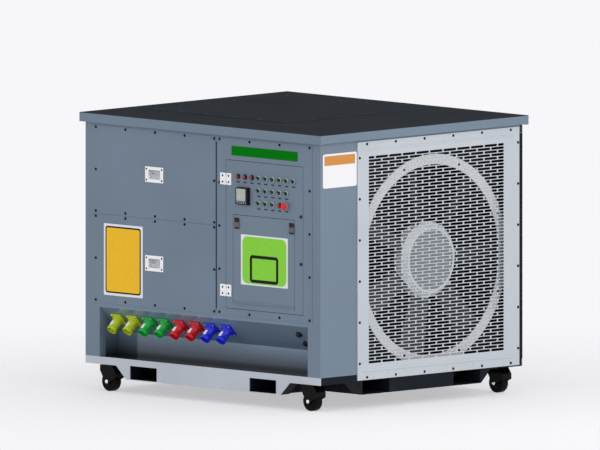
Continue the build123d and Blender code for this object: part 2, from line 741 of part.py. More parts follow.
# ================================================================ control enclosure
box_left, box_right = control_left + POST, bay_right
box_back = division - RAIL_WIDTH / 2
switch_x, switch_y, switch_z = 60.0, 90.0, 90.0
enclosure = [
    block(box_left, box_left + SHEET, front, box_back, header_top, top_beam),
    block(box_right - SHEET, box_right, front, box_back, header_top, top_beam),
    block(box_left + SHEET, box_right - SHEET, front, box_back, header_top, header_top + SHEET),
    block(box_left + SHEET, box_right - SHEET, front, box_back, top_beam - SHEET, top_beam),
    block(box_left, box_right, box_back, box_back + SHEET, header_top, top_beam),
]
for row in range(3):
    for column in range(6):
        x = box_left + (column + 0.8) * (box_right - box_left) / 6.6
        z = header_top + (row + 0.7) * (top_beam - header_top) / 3.4
        enclosure.append(block(x - switch_x / 2, x + switch_x / 2, box_back - switch_y, box_back,
                               z - switch_z / 2, z + switch_z / 2))
write("control_enclosure", *enclosure)

# ================================================================ control door
flap_left, flap_right = door_left + FLAP_IN_LEFT, door_right - FLAP_IN_RIGHT
flap_bottom, flap_top = door_bottom + FLAP_IN_BOTTOM, door_top - FLAP_IN_TOP
mouth_x0, mouth_x1 = flap_left - DOOR_GAP, flap_right + DOOR_GAP
mouth_z0, mouth_z1 = flap_bottom - DOOR_GAP, flap_top + DOOR_GAP
meter_x, meter_z = door_left + METER_IN_LEFT, door_top - METER_IN_TOP
meter_hole = METER - 2 * DOOR_GAP


def door_field(x0, x1, z0, z1, locks, with_meter=False):
    """One field of the door sheet, with its cut-outs."""
    with BuildPart() as field:
        with BuildSketch(outward(0, 0, door_back)):
            with Locations(((x0 + x1) / 2, (z0 + z1) / 2)):
                Rectangle(x1 - x0, z1 - z0)
            if with_meter:
                with Locations((meter_x, meter_z)):
                    Rectangle(meter_hole, meter_hole, mode=Mode.SUBTRACT)
            with Locations(*[(lock_x, z) for z in locks]):
                RegularPolygon(LOCK_R + BORE_GAP, PIN_SIDES, major_radius=False, mode=Mode.SUBTRACT)
        extrude(amount=DOOR_SHEET)
    return field.part.solid()


return_back = door_back + DOOR_RETURN
case_x0, case_x1 = flap_left - CASE_MARGIN, flap_right + CASE_MARGIN
case_z0, case_z1 = flap_bottom - CASE_MARGIN, flap_top + CASE_MARGIN
case_back = door_back + CASE_DEPTH
knuckle_y, knuckle_z = face - FLAP_BARREL_R, flap_bottom - DOOR_GAP / 2
pivot = Plane(origin=(flap_left, knuckle_y, knuckle_z), x_dir=(0, 1, 0), z_dir=(1, 0, 0))
leaf_thick = FLAP_BARREL_R / 2
door_pieces = [
    door_field(door_left, door_right, mouth_z1, door_top, [lock_z["upper"]], with_meter=True),
    door_field(mouth_x1, door_right, mouth_z0, mouth_z1, [lock_z["lower"]]),
    block(door_left, mouth_x0, face, door_back, mouth_z0, mouth_z1),
    block(door_left, door_right, face, door_back, door_bottom, mouth_z0),
    block(door_left, door_left + SHEET, door_back, return_back, door_bottom, door_top),
    block(door_right - SHEET, door_right, door_back, return_back, door_bottom, door_top),
    block(door_left + SHEET, door_right - SHEET, door_back, return_back, door_bottom, door_bottom + SHEET),
    block(door_left + SHEET, door_right - SHEET, door_back, return_back, door_top - SHEET, door_top),
    block(case_x0, case_x0 + SHEET, door_back, case_back, case_z0, case_z1),
    block(case_x1 - SHEET, case_x1, door_back, case_back, case_z0, case_z1),
    block(case_x0 + SHEET, case_x1 - SHEET, door_back, case_back, case_z0, case_z0 + SHEET),
    block(case_x0 + SHEET, case_x1 - SHEET, door_back, case_back, case_z1 - SHEET, case_z1),
    block(case_x0, case_x1, case_back, case_back + SHEET, case_z0, case_z1),
]
with BuildPart() as door_knuckles:
    for x0 in (flap_left, flap_right - FLAP_BARREL):
        with BuildSketch(pivot.offset(x0 - flap_left)):
            RegularPolygon(FLAP_BARREL_R, 8)
        extrude(amount=FLAP_BARREL)
        with Locations((x0 + FLAP_BARREL / 2, face - leaf_thick / 2, knuckle_z - FLAP_LEAF / 2)):
            Box(FLAP_BARREL, leaf_thick, FLAP_LEAF)
    with BuildSketch(pivot):
        Circle(FLAP_PIN_R)
    extrude(amount=flap_right - flap_left)
door_pieces.append(door_knuckles.part.solid())
write("control_door", *door_pieces)

# Flap: sheet with two side returns, latch plates and the long middle knuckle.
latch_x = {"left": flap_left + LATCH_IN_LEFT, "right": flap_right - LATCH_IN_RIGHT}
latch_z = flap_top - LATCH_IN_TOP
flap_knuckle = flap_right - flap_left - 2 * (FLAP_BARREL + RUN_GAP)
with BuildPart() as flap:
    with BuildSketch(outward(0, 0, door_back)):
        with Locations(((flap_left + flap_right) / 2, (flap_bottom + flap_top) / 2)):
            Rectangle(flap_right - flap_left, flap_top - flap_bottom)
    extrude(amount=DOOR_SHEET)
    for x in (flap_left + SHEET / 2, flap_right - SHEET / 2):
        with Locations((x, door_back + DOOR_RETURN / 2, (flap_bottom + flap_top) / 2)):
            Box(SHEET, DOOR_RETURN, flap_top - flap_bottom - 2 * DOOR_SHEET)
    for x in latch_x.values():
        with Locations((x, face - LATCH_PROUD / 2, latch_z)):
            Box(LATCH_WIDTH, LATCH_PROUD, LATCH_HEIGHT)
        with Locations((x, door_back - (DOOR_SHEET + LATCH_PROUD) / 2, latch_z)):
            Box(LATCH_STEM + SHEET, DOOR_SHEET + LATCH_PROUD, LATCH_TRAVEL + LATCH_STEM,
                mode=Mode.SUBTRACT)
    with BuildSketch(pivot.offset(FLAP_BARREL + RUN_GAP)):
        RegularPolygon(FLAP_BARREL_R, 8)
    extrude(amount=flap_knuckle)
    with Locations(((flap_left + flap_right) / 2, face - leaf_thick / 2, knuckle_z + FLAP_LEAF / 2)):
        Box(flap_knuckle, leaf_thick, FLAP_LEAF)
    with BuildSketch(pivot.offset(FLAP_BARREL + RUN_GAP)):
        RegularPolygon(FLAP_PIN_R + BORE_GAP, PIN_SIDES, major_radius=False)
    extrude(amount=flap_knuckle, mode=Mode.SUBTRACT)
write("controller_flap", flap.part.solid())

# Latches: a thumb slide in front, a stem through the slot, a tongue behind.
thumb_back = face - LATCH_PROUD - RUN_GAP
tongue_front = door_back + RUN_GAP
stem_z = latch_z - LATCH_TRAVEL / 2
stem_half = LATCH_STEM / 2 - RUN_GAP
for side, x in latch_x.items():
    tongue_half = LATCH_TONGUE / 2
    write(f"flap_latch_{side}", (
        block(x - LATCH_WIDTH / 2, x + LATCH_WIDTH / 2, thumb_back - LATCH_PROUD, thumb_back,
              stem_z - LATCH_THUMB / 2, stem_z + LATCH_THUMB / 2)
        + block(x - stem_half, x + stem_half, thumb_back, tongue_front,
                stem_z - stem_half, stem_z + stem_half)
        + block(x - tongue_half, x + tongue_half, tongue_front, tongue_front + SHEET,
                stem_z - tongue_half, flap_top - DOOR_SHEET)).solid())

# Locks: a slotted disc in front, a barrel through the door, a cam behind.
for place, z in lock_z.items():
    with BuildPart() as lock:
        with BuildSketch(outward(lock_x, z).offset(RUN_GAP)):
            RegularPolygon(LOCK_DISC_R, CAP_SIDES)
        extrude(amount=LATCH_PROUD)
        with BuildSketch(outward(lock_x, z, cam_front)):
            Circle(LOCK_R)
        extrude(amount=cam_front - face + RUN_GAP)
        with BuildSketch(outward(lock_x, z, cam_front + CAM_THICK)):
            with Locations((0, (CAM_WIDTH / 2 - CAM_REACH) / 2)):
                Rectangle(CAM_WIDTH, CAM_REACH + CAM_WIDTH / 2)
        extrude(amount=CAM_THICK)
    write(f"door_lock_{place}", lock.part.solid())

# Hinges: two knuckles and the pin on the frame leaf, one knuckle on the door leaf.
hinge_x, hinge_y = door_left - DOOR_GAP + 0.5, face - HINGE_OUT
barrel_r = HINGE_OUT - RUN_GAP
knuckle = HINGE_HEIGHT / 3
leaf_from, leaf_to = HINGE_OUT + LEAF_GAP, HINGE_WIDTH / 2


def hinge_leaf(z, side, starts, height):
    """A leaf with its knuckles, joined by a neck that clears the other leaf."""
    with BuildPart() as leaf:
        with Locations((hinge_x + side * (leaf_from + leaf_to) / 2, face - HINGE_LEAF / 2, z)):
            Box(leaf_to - leaf_from, HINGE_LEAF, HINGE_HEIGHT)
        for start in starts:
            with BuildSketch(Plane.XY.offset(start)):
                with Locations((hinge_x, hinge_y)):
                    RegularPolygon(barrel_r, 12)
                with Locations((hinge_x + side * leaf_from / 2, face - HINGE_LEAF / 2 - 0.5)):
                    Rectangle(leaf_from, HINGE_LEAF)
            extrude(amount=height)
    return leaf.part


frame_leaves, door_leaves = [], []
for z in (door_top - HINGE_IN_TOP, door_bottom + HINGE_IN_BOTTOM):
    low = z - HINGE_HEIGHT / 2
    with BuildPart() as frame_leaf:
        add(hinge_leaf(z, -1, (low, low + 2 * knuckle + RUN_GAP), knuckle - RUN_GAP))
        with BuildSketch(Plane.XY.offset(low)):
            with Locations((hinge_x, hinge_y)):
                Circle(HINGE_PIN_R)
        extrude(amount=HINGE_HEIGHT)
    frame_leaves.append(frame_leaf.part.solid())
    with BuildPart() as door_leaf:
        add(hinge_leaf(z, 1, (low + knuckle,), knuckle))
        with BuildSketch(Plane.XY.offset(low + knuckle)):
            with Locations((hinge_x, hinge_y)):
                RegularPolygon(HINGE_PIN_R + BORE_GAP, PIN_SIDES, major_radius=False)
        extrude(amount=knuckle, mode=Mode.SUBTRACT)
    door_leaves.append(door_leaf.part.solid())
write("hinge_frame_leaves", *frame_leaves)
write("hinge_door_leaves", *door_leaves)

# Panel meter: deep bezel, sunk display, five keys, body through the door.
with BuildPart() as meter:
    with BuildSketch(outward(meter_x, meter_z)):
        Rectangle(METER, METER)
    extrude(amount=METER_PROUD, taper=4)
    with BuildSketch(outward(meter_x, meter_z + METER_RIM / 2).offset(METER_PROUD - SHEET)):
        Rectangle(METER - 2 * METER_RIM, METER - 2 * METER_RIM)
    extrude(amount=SHEET, mode=Mode.SUBTRACT)
    with BuildSketch(outward(meter_x, meter_z)):
        Rectangle(meter_hole - 1, meter_hole - 1)
    extrude(amount=-METER_BODY)
write("panel_meter", meter.part.solid())

# Devices in three rows: lamps, selector knobs and the stop button.
lamps = [(0, 0), (1, 0), (2, 0), (6, 2)]
selectors = [(c, 0) for c in range(3, 9)] + [(c, 1) for c in range(3, 8)] + [(c, 2) for c in range(3, 6)]
stop = (7, 2)


def device_at(column, row):
    return door_left + DEVICE_IN_LEFT + column * DEVICE_PITCH, door_top - DEVICE_IN_TOP - row * DEVICE_ROW


def contact_block(x, z):
    return block(x - BLOCK_WIDTH / 2, x + BLOCK_WIDTH / 2, door_back, door_back + BLOCK_DEPTH,
                 z - BLOCK_HEIGHT / 2, z + BLOCK_HEIGHT / 2)


bezels = []
for place in selectors + [stop]:
    x, z = device_at(*place)
    with BuildPart() as bezel:
        with BuildSketch(outward(x, z)):
            RegularPolygon(BEZEL_R, CAP_SIDES)
            RegularPolygon(SPINDLE_R + RUN_GAP, 6, major_radius=False, mode=Mode.SUBTRACT)
        extrude(amount=STOP_BEZEL if place == stop else BEZEL_HEIGHT)
    bezels.append(bezel.part.solid())
    bezels.append(contact_block(x, z))
write("selector_bezels", *bezels)

for number, place in enumerate(selectors, 1):
    x, z = device_at(*place)
    with BuildPart() as knob:
        with BuildSketch(outward(x, z).offset(RUN_GAP)):
            Circle(SPINDLE_R)
        extrude(amount=BEZEL_HEIGHT)
        with BuildSketch(outward(x, z).offset(BEZEL_HEIGHT + RUN_GAP)):
            Rectangle(KNOB_WIDTH, KNOB_LENGTH, rotation=KNOB_ANGLE)
        extrude(amount=KNOB_HEIGHT)
    write(f"selector_knob_{number:02d}", knob.part.solid())

x, z = device_at(*stop)
head = STOP_BEZEL + STOP_TRAVEL + RUN_GAP
with BuildPart() as stop_button:
    with BuildSketch(outward(x, z).offset(STOP_TRAVEL + RUN_GAP)):
        Circle(SPINDLE_R)
    extrude(amount=STOP_BEZEL)
    add(cap(outward(x, z).offset(head), STOP_R, STOP_HEAD))
write("emergency_stop", stop_button.part.solid())

lamp_pieces = []
for place in lamps:
    x, z = device_at(*place)
    lamp_pieces.append(cap(outward(x, z), BEZEL_R, LAMP_PROUD))
    lamp_pieces.append(contact_block(x, z))
write("pilot_lamps", *lamp_pieces)

# ================================================================ fan side
grille_left, grille_right = front + GRILLE_IN_LEFT, half_y - GRILLE_IN_RIGHT
grille_bottom, grille_top = BASE_TOP - GRILLE_DROP, rim_bottom - GRILLE_IN_TOP
slot_y0, slot_y1 = grille_left + SLOTS_IN_LEFT, grille_right - SLOTS_IN_RIGHT
slot_z0, slot_z1 = grille_bottom + SLOTS_IN_BOTTOM, grille_top - SLOTS_IN_TOP
slot_pitch = (slot_y1 - slot_y0) / SLOT_COLUMNS
row_pitch = (slot_z1 - slot_z0) / SLOT_ROWS
with BuildPart() as grille:
    with BuildSketch(rightward(0, 0)):
        with Locations(((grille_left + grille_right) / 2, (grille_bottom + grille_top) / 2)):
            Rectangle(grille_right - grille_left, grille_top - grille_bottom)
        for row in range(SLOT_ROWS):
            z = slot_z0 + (row + 0.5) * row_pitch
            shift = row % 2 / 2                    # every other row is moved by half a slot
            centres = [(slot_y0 + (c + 0.5 + shift) * slot_pitch, z)
                       for c in range(SLOT_COLUMNS - row % 2)]
            with Locations(*centres):
                Rectangle(slot_pitch - SLOT_BAR, row_pitch - SLOT_LAND, mode=Mode.SUBTRACT)
            if row % 2:
                with Locations((slot_y0 + slot_pitch / 4, z), (slot_y1 - slot_pitch / 4, z)):
                    Rectangle(slot_pitch / 2 - SLOT_BAR, row_pitch - SLOT_LAND, mode=Mode.SUBTRACT)
    extrude(amount=GRILLE_THICK)
    with BuildSketch(rightward(0, 0, half_x + GRILLE_THICK)):
        for z in (grille_bottom + BEAD_IN, grille_top - BEAD_IN):
            with Locations(((grille_left + grille_right) / 2, z)):
                Rectangle(grille_right - grille_left - 2 * BEAD_END, BEAD_WIDTH)
    extrude(amount=BEAD_HEIGHT, taper=45)
write("grille_panel", grille.part.solid())

ring_r = (grille_right - grille_left) / 2 - FAN_MARGIN
duct_r = ring_r - FAN_RING_WIDTH
fan_y = (grille_left + grille_right) / 2 - FAN_SET
fan_z = BASE_TOP + FAN_LIFT + ring_r
near, far = fan_y - duct_r, fan_y + duct_r
low, high = fan_z - duct_r, fan_z + duct_r
shroud = [
    block(shroud_back, shroud_front, division_back, rear_face, BASE_TOP, low),
    block(shroud_back, shroud_front, division_back, rear_face, high, skin_under),
    block(shroud_back, shroud_front, division_back, near, low, high),
    block(shroud_back, shroud_front, far, rear_face, low, high),
]
gusset = duct_r * (2 - math.sqrt(2))         # corners that make the hole eight-sided
for y, z, turn, lift in ((near, low, 1, 1), (far, low, -1, 1), (near, high, 1, -1), (far, high, -1, -1)):
    corners = [(y, z), (y + turn * gusset, z), (y, z + lift * gusset)]
    shroud.append(prism(rightward(0, 0, shroud_back), corners, PLATE))
half_stave = math.pi / DUCT_STAVES
duct_corner, duct_outer = duct_r / math.cos(half_stave), (duct_r + PLATE) / math.cos(half_stave)
for number in range(DUCT_STAVES):
    turns = ((2 * number - 1) * half_stave, (2 * number + 1) * half_stave)
    inside = [(duct_corner * math.cos(t), duct_corner * math.sin(t)) for t in turns]
    outside = [(duct_outer * math.cos(t), duct_outer * math.sin(t)) for t in reversed(turns)]
    shroud.append(prism(rightward(fan_y, fan_z, shroud_back - DUCT_LENGTH), inside + outside, DUCT_LENGTH))
write("fan_shroud", *shroud)

with BuildPart() as ring:
    with BuildSketch(rightward(fan_y, fan_z, shroud_front)):
        RegularPolygon(ring_r, RING_SIDES)
        RegularPolygon(duct_r, RING_SIDES, mode=Mode.SUBTRACT)
    extrude(amount=FAN_RING_THICK)
write("fan_ring", ring.part.solid())

# Rotor: a hollow hub that flares back, and pitched blades lofted from root to tip.
fan_axis = (0, fan_y, fan_z)
hub_front = shroud_front + HUB_PROUD
hub_back = hub_front - HUB_LENGTH
face_back = hub_front - 2 * HUB_SHELL
blade_x = hub_front - BLADE_SET_BACK
with BuildPart() as rotor:
    with BuildSketch(Plane(origin=fan_axis, x_dir=(1, 0, 0), z_dir=(0, -1, 0))):
        with BuildLine():
            Polyline(
                (face_back, 0), (hub_front, 0), (hub_front, HUB_FRONT_R),
                (hub_front - HUB_FLARE, HUB_BACK_R), (hub_back, HUB_BACK_R),
                (hub_back, HUB_BACK_R - HUB_SHELL), (face_back, HUB_FRONT_R - HUB_SHELL), close=True,
            )
        make_face()
    revolve(axis=Axis(fan_axis, (1, 0, 0)))
    sections = (
        (HUB_BACK_R - 3 * HUB_SHELL, BLADE_ROOT_PITCH, BLADE_ROOT_CHORD),
        (duct_r - BLADE_TIP_GAP, BLADE_TIP_PITCH, BLADE_TIP_CHORD),
    )
    for index in range(BLADES):
        turn = 2 * math.pi * index / BLADES
        outwards = (0, math.cos(turn), math.sin(turn))
        for radius, pitch, chord in sections:
            spoke = Plane(origin=(blade_x, fan_y + radius * outwards[1], fan_z + radius * outwards[2]),
                          x_dir=(0, -outwards[2], outwards[1]), z_dir=outwards)
            with BuildSketch(spoke):
                Rectangle(chord, BLADE_THICK, rotation=pitch)
        loft(ruled=True)
write("fan_rotor", rotor.part.solid())

motor_front = hub_back - MOTOR_GAP
motor_back = motor_front - MOTOR_LENGTH
with BuildPart() as motor:
    with BuildSketch(rightward(fan_y, fan_z, motor_back)):
        RegularPolygon(MOTOR_R, DUCT_STAVES)
    extrude(amount=MOTOR_LENGTH)
    with BuildSketch(rightward(fan_y, fan_z, motor_front)):
        Circle(SHAFT_R)
    extrude(amount=face_back - RUN_GAP - motor_front)
    for x in (motor_back + 3 * STAND_THICK, motor_front - 4 * STAND_THICK):
        with BuildSketch(rightward(fan_y, 0, x)):
            with BuildLine():
                Polyline((-STAND_HALF, BASE_TOP), (STAND_HALF, BASE_TOP), (MOTOR_R, fan_z),
                         (-MOTOR_R, fan_z), close=True)
            make_face()
        extrude(amount=STAND_THICK)
write("fan_motor", motor.part.solid())

# Resistor bank: two end plates and rows of cased elements between them.
bank_x0, bank_x1 = -half_x + BANK_LEFT, motor_back - BANK_GAP
bank_y0, bank_y1 = division_back + BANK_SIDE, rear_face - BANK_SIDE
bank_top = top_beam - BANK_HEAD
bank = [
    block(bank_x0, bank_x1, bank_y0, bank_y0 + PLATE, BASE_TOP, bank_top),
    block(bank_x0, bank_x1, bank_y1 - PLATE, bank_y1, BASE_TOP, bank_top),
]
for row in range(ELEMENT_ROWS):
    for column in range(ELEMENT_COLUMNS):
        x = bank_x0 + (column + 0.5) * (bank_x1 - bank_x0) / ELEMENT_COLUMNS
        z = BASE_TOP + (row + 0.7) * (bank_top - BASE_TOP) / (ELEMENT_ROWS + 0.4)
        bank.append(block(x - ELEMENT_R, x + ELEMENT_R, bank_y0 + PLATE, bank_y1 - PLATE,
                          z - ELEMENT_R, z + ELEMENT_R))
write("resistor_bank", *bank)

# Outlet side: a bordered panel of fixed louvres.
outlet = -half_x - GRILLE_THICK
louvres = [
    block(outlet, -half_x, grille_left, slot_y0, grille_bottom, grille_top),
    block(outlet, -half_x, slot_y1, grille_right, grille_bottom, grille_top),
    block(outlet, -half_x, slot_y0, slot_y1, grille_bottom, slot_z0),
    block(outlet, -half_x, slot_y0, slot_y1, slot_z1, grille_top),
]
louvre_x = outlet + LOUVRE_WIDTH / 2 * math.cos(math.radians(LOUVRE_TILT)) + SHEET
for number in range(LOUVRES):
    z = slot_z0 + (number + 0.5) * (slot_z1 - slot_z0) / LOUVRES
    with BuildPart() as louvre:
        with BuildSketch(across(louvre_x, slot_y0, z)):
            Rectangle(LOUVRE_WIDTH, SHEET, rotation=-LOUVRE_TILT)
        extrude(amount=slot_y1 - slot_y0)
    louvres.append(louvre.part.solid())
write("outlet_louvres", *louvres)

# ================================================================ rear and roof
cover_height = skin_under - REAR_BEAM - BASE_TOP
cover_plane = Plane(origin=(0, half_y, BASE_TOP + cover_height / 2), x_dir=(1, 0, 0), z_dir=(0, -1, 0))
with BuildPart() as rear_cover:
    with BuildSketch(cover_plane):
        Rectangle(BODY_X, cover_height)
    extrude(amount=REAR_COVER_DEPTH)
    with BuildSketch(cover_plane.offset(SHEET)):
        Rectangle(BODY_X - 2 * SHEET, cover_height - 2 * SHEET)
    extrude(amount=REAR_COVER_DEPTH, mode=Mode.SUBTRACT)
write("rear_cover", rear_cover.part.solid())

roof_x, roof_y = half_x + ROOF_OVER_X, half_y + ROOF_OVER_Y


def rim(plane, side, edge, wall, lift, length):
    """An angle that hangs from the roof skin and closes the gap under it."""
    low, fold = rim_bottom + lift, rim_bottom + lift + RIM_SHEET
    outline = [(side * edge, low), (side * edge, skin_under), (side * (edge - RIM_SHEET), skin_under),
               (side * (edge - RIM_SHEET), fold), (side * wall, fold), (side * wall, low)]
    return prism(plane, outline, length)


write(
    "roof_rim",
    *[rim(Plane.YZ.offset(-roof_x), side, roof_y, half_y, 0, 2 * roof_x) for side in (-1, 1)],
    *[rim(Plane.XZ.offset(-roof_y + RIM_SHEET), side, roof_x, half_x, RIM_SHEET, 2 * (roof_y - RIM_SHEET))
      for side in (-1, 1)],
)
write(
    "roof_panels",
    block(-roof_x, roof_x, -roof_y, roof_y, skin_under, ROOF_TOP),
    block(-half_x + ACCESS_IN_LEFT, half_x - ACCESS_IN_RIGHT, -half_y + ACCESS_IN_FRONT,
          half_y - ACCESS_IN_REAR, ROOF_TOP, ROOF_TOP + ACCESS_THICK),
)

# ================================================================ panel screws


def spread(first, last, count):
    """Evenly spaced places, both ends counted."""
    return [first + i * (last - first) / (count - 1) for i in range(count)]


places = []
cover_x = spread(cover_left + COVER_SCREW_IN_LEFT, cover_right - COVER_SCREW_IN_RIGHT, COVER_SCREWS)
cover_ends = (
    (cover_top, cover_seam + SEAM_GAP / 2, handle_z["upper"]),
    (cover_seam - SEAM_GAP / 2, cover_bottom, handle_z["lower"]),
)
for top, bottom, middle in cover_ends:
    for z in (top - COVER_SCREW_IN_TOP, bottom + COVER_SCREW_IN_BOTTOM):
        places += [outward(x, z) for x in cover_x]
    places += [outward(x, middle) for x in (cover_x[0], cover_x[-1])]
control_x = spread(control_left + CONTROL_SCREW_IN, control_right - CONTROL_SCREW_IN, CONTROL_SCREWS)
control_z = spread(cover_bottom + COVER_SCREW_IN_BOTTOM, cover_top - COVER_SCREW_IN_TOP, CONTROL_SIDE_SCREWS)
for z in (control_z[0], control_z[-1]):
    places += [outward(x, z) for x in control_x]
for z in control_z[1:-1]:
    places += [outward(x, z) for x in (control_x[0], control_x[-1])]
grille_face = half_x + GRILLE_THICK
for z in (grille_bottom + GRILLE_SCREW_ROW_IN, grille_top - GRILLE_SCREW_ROW_IN):
    places += [rightward(y, z, grille_face) for y in
               spread(grille_left + GRILLE_SCREW_ROW_END, grille_right - GRILLE_SCREW_ROW_END, GRILLE_SCREWS)]
column_end = GRILLE_SCREW_COLUMN_END
for y in (grille_left + GRILLE_SCREW_COLUMN_IN, grille_right - GRILLE_SCREW_COLUMN_IN):
    places += [rightward(y, z, grille_face) for z in
               spread(grille_bottom + column_end, grille_top - column_end, GRILLE_SCREWS)]
access_x = spread(-half_x + ACCESS_IN_LEFT + ACCESS_SCREW_IN, half_x - ACCESS_IN_RIGHT - ACCESS_SCREW_IN,
                  ACCESS_SCREWS)
access_y = spread(-half_y + ACCESS_IN_FRONT + ACCESS_SCREW_IN, half_y - ACCESS_IN_REAR - ACCESS_SCREW_IN,
                  ACCESS_SCREWS)
plate_top = ROOF_TOP + ACCESS_THICK
for x in access_x:
    places += [Plane(origin=(x, y, plate_top)) for y in (access_y[0], access_y[-1])]
for y in access_y[1:-1]:
    places += [Plane(origin=(x, y, plate_top)) for x in (access_x[0], access_x[-1])]
screws = []
for place in places:
    with BuildPart() as screw:
        with BuildSketch(place):
            RegularPolygon(SCREW_R, 6)
        extrude(amount=SCREW_HEIGHT)
    screws.append(screw.part.solid())
write("panel_screws", *screws)
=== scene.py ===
import bpy
import bmesh
import math
from mathutils import Matrix, Vector


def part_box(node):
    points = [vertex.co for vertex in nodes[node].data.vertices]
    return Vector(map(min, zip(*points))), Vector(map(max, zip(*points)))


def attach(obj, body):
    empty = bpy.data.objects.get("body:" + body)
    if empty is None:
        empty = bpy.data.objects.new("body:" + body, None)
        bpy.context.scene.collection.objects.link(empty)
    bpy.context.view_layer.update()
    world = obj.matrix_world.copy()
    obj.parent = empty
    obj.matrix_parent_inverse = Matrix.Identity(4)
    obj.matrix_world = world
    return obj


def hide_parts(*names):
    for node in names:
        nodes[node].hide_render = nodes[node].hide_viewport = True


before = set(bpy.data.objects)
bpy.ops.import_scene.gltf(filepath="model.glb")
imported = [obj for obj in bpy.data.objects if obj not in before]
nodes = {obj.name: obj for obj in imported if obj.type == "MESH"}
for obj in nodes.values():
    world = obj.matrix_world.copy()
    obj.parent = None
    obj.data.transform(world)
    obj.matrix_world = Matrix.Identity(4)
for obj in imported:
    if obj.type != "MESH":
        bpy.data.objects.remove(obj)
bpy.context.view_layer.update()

# Everything is in metres. Front is -Y, the fan side is +X.
MM = 0.001

# ------------------------------------------------------------------ places taken from the solids
BODY_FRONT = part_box("cabinet_frame")[0].y
BODY_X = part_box("cabinet_frame")[1].x
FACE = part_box("front_panels")[0].y            # outer face of covers and surround
LEAF_FACE = FACE - 3 * MM                     # outer face of hinge leaves, handle ears and latches
ROOF_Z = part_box("roof_panels")[1].z
GRILLE_THICK = 5 * MM
GRILLE_X = BODY_X + GRILLE_THICK
grille_low, grille_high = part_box("grille_panel")
ring_low, ring_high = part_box("fan_ring")
RING_RADIUS = (ring_high.y - ring_low.y) / 2
FAN_Y = (ring_low.y + ring_high.y) / 2
FAN_Z = (ring_low.z + ring_high.z) / 2
dish_low, dish_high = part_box("handle_dishes")
HANDLE_HEIGHT = 85 * MM
HANDLE_X = (dish_low.x + dish_high.x) / 2
HANDLE_Z = (dish_high.z - HANDLE_HEIGHT / 2, dish_low.z + HANDLE_HEIGHT / 2)

# ------------------------------------------------------------------ places given
# Grille sheet: slots in rows, every second row offset by half a pitch
SLOT_PITCH_Y, SLOT_PITCH_Z = 104.4 * MM, 17.7 * MM
SLOT_LENGTH, SLOT_HEIGHT = 97.5 * MM, 13.6 * MM
SLOT_ROWS, SLOT_COLUMNS = 64, 10
SLOT_SHEET = 2 * MM
FIELD_Y0, FIELD_Z0 = -413 * MM, 243.2 * MM
FIELD_Y1 = FIELD_Y0 + SLOT_PITCH_Y * SLOT_COLUMNS
FIELD_Z1 = FIELD_Z0 + SLOT_PITCH_Z * SLOT_ROWS
BEAD_Z = (1409 * MM, 206 * MM)
BEAD_HEIGHT, BEAD_PROUD = 6.5 * MM, 3 * MM
RING_WIDTH, RING_THICK = 58 * MM, 8 * MM
HUB_RADIUS = 207 * MM

# Screw rows
COVER_X = (-819 * MM, 88 * MM)                # outer columns of the two front covers
COVER_Z = (1439.5 * MM, 983 * MM, 955 * MM, 498.5 * MM)
SURROUND_X = (128.5 * MM, 819.5 * MM)
GRILLE_ROW_Y, GRILLE_ROW_Z = (-421.5 * MM, 679.5 * MM), (1441.5 * MM, 171.5 * MM)
GRILLE_COLUMN_Y, GRILLE_COLUMN_Z = (-477.5 * MM, 735.5 * MM), (248.5 * MM, 1369 * MM)
HATCH_X, HATCH_Y = (-730 * MM, 277 * MM), (-414 * MM, 607 * MM)
ROOF_SCREW_SINK = 1.4 * MM

# Door devices, numbered by column and row
COLUMN_X, COLUMN_PITCH = 272 * MM, 53.1 * MM
ROW_Z = (1247 * MM, 1178.25 * MM, 1109.5 * MM)
TAG_DROP = 30 * MM
LAMPS = ((0, 0), (1, 0), (2, 0), (6, 2))
SELECTORS = [(c, 0) for c in range(3, 9)] + [(c, 1) for c in range(3, 8)] + [(c, 2) for c in range(3, 6)]
STOP = (7, 2)
KNOB_TURN = 40                                # degrees, as the selectors stand
METER_X, METER_Z = 315 * MM, 1142 * MM
LATCH_Z = 990.5 * MM
HINGE_X, HINGE_Z = 178 * MM, (1227 * MM, 620 * MM)

# Connector bay: the socket panel is raked at 45 degrees from the top front edge
DIAGONAL = math.sqrt(0.5)                     # sine and cosine of 45 degrees
BAY_TOP = 461.5 * MM
SOCKET_X, SOCKET_PITCH, SOCKET_DOWN = -702 * MM, 119.4 * MM, 87.5 * MM
AUX_X, AUX_DOWN = 692 * MM, (67 * MM, 143 * MM)


# ------------------------------------------------------------------ colours and patterns
def srgb(code, alpha=1.0):
    """Turns an sRGB hex value to a linear colour."""
    parts = [int(code[i:i + 2], 16) / 255 for i in (0, 2, 4)]
    return [p / 12.92 if p <= 0.04045 else ((p + 0.055) / 1.055) ** 2.4 for p in parts] + [alpha]


def scaled(code, by):
    """A colour made darker or lighter."""
    return [min(1, part * by) for part in srgb(code)[:3]] + [1]


def across(size_mm):
    """Pattern scale for blotches about that many millimetres across."""
    return 1 / (size_mm * MM)


def add(tree, kind, inputs=None, **settings):
    """Adds one node, sets its options, then links or sets its inputs."""
    made = tree.nodes.new(kind)
    for key, value in settings.items():
        setattr(made, key, value)
    for key, value in (inputs or {}).items():
        if isinstance(value, bpy.types.NodeSocket):
            tree.links.new(value, made.inputs[key])
        else:
            made.inputs[key].default_value = value
    return made


def start(name):
    """A new material: itself, its node tree, its shader and the Object coordinates."""
    made = bpy.data.materials.new(name)
    made.use_nodes = True
    tree = made.node_tree
    return made, tree, tree.nodes["Principled BSDF"], add(tree, "ShaderNodeTexCoord").outputs["Object"]


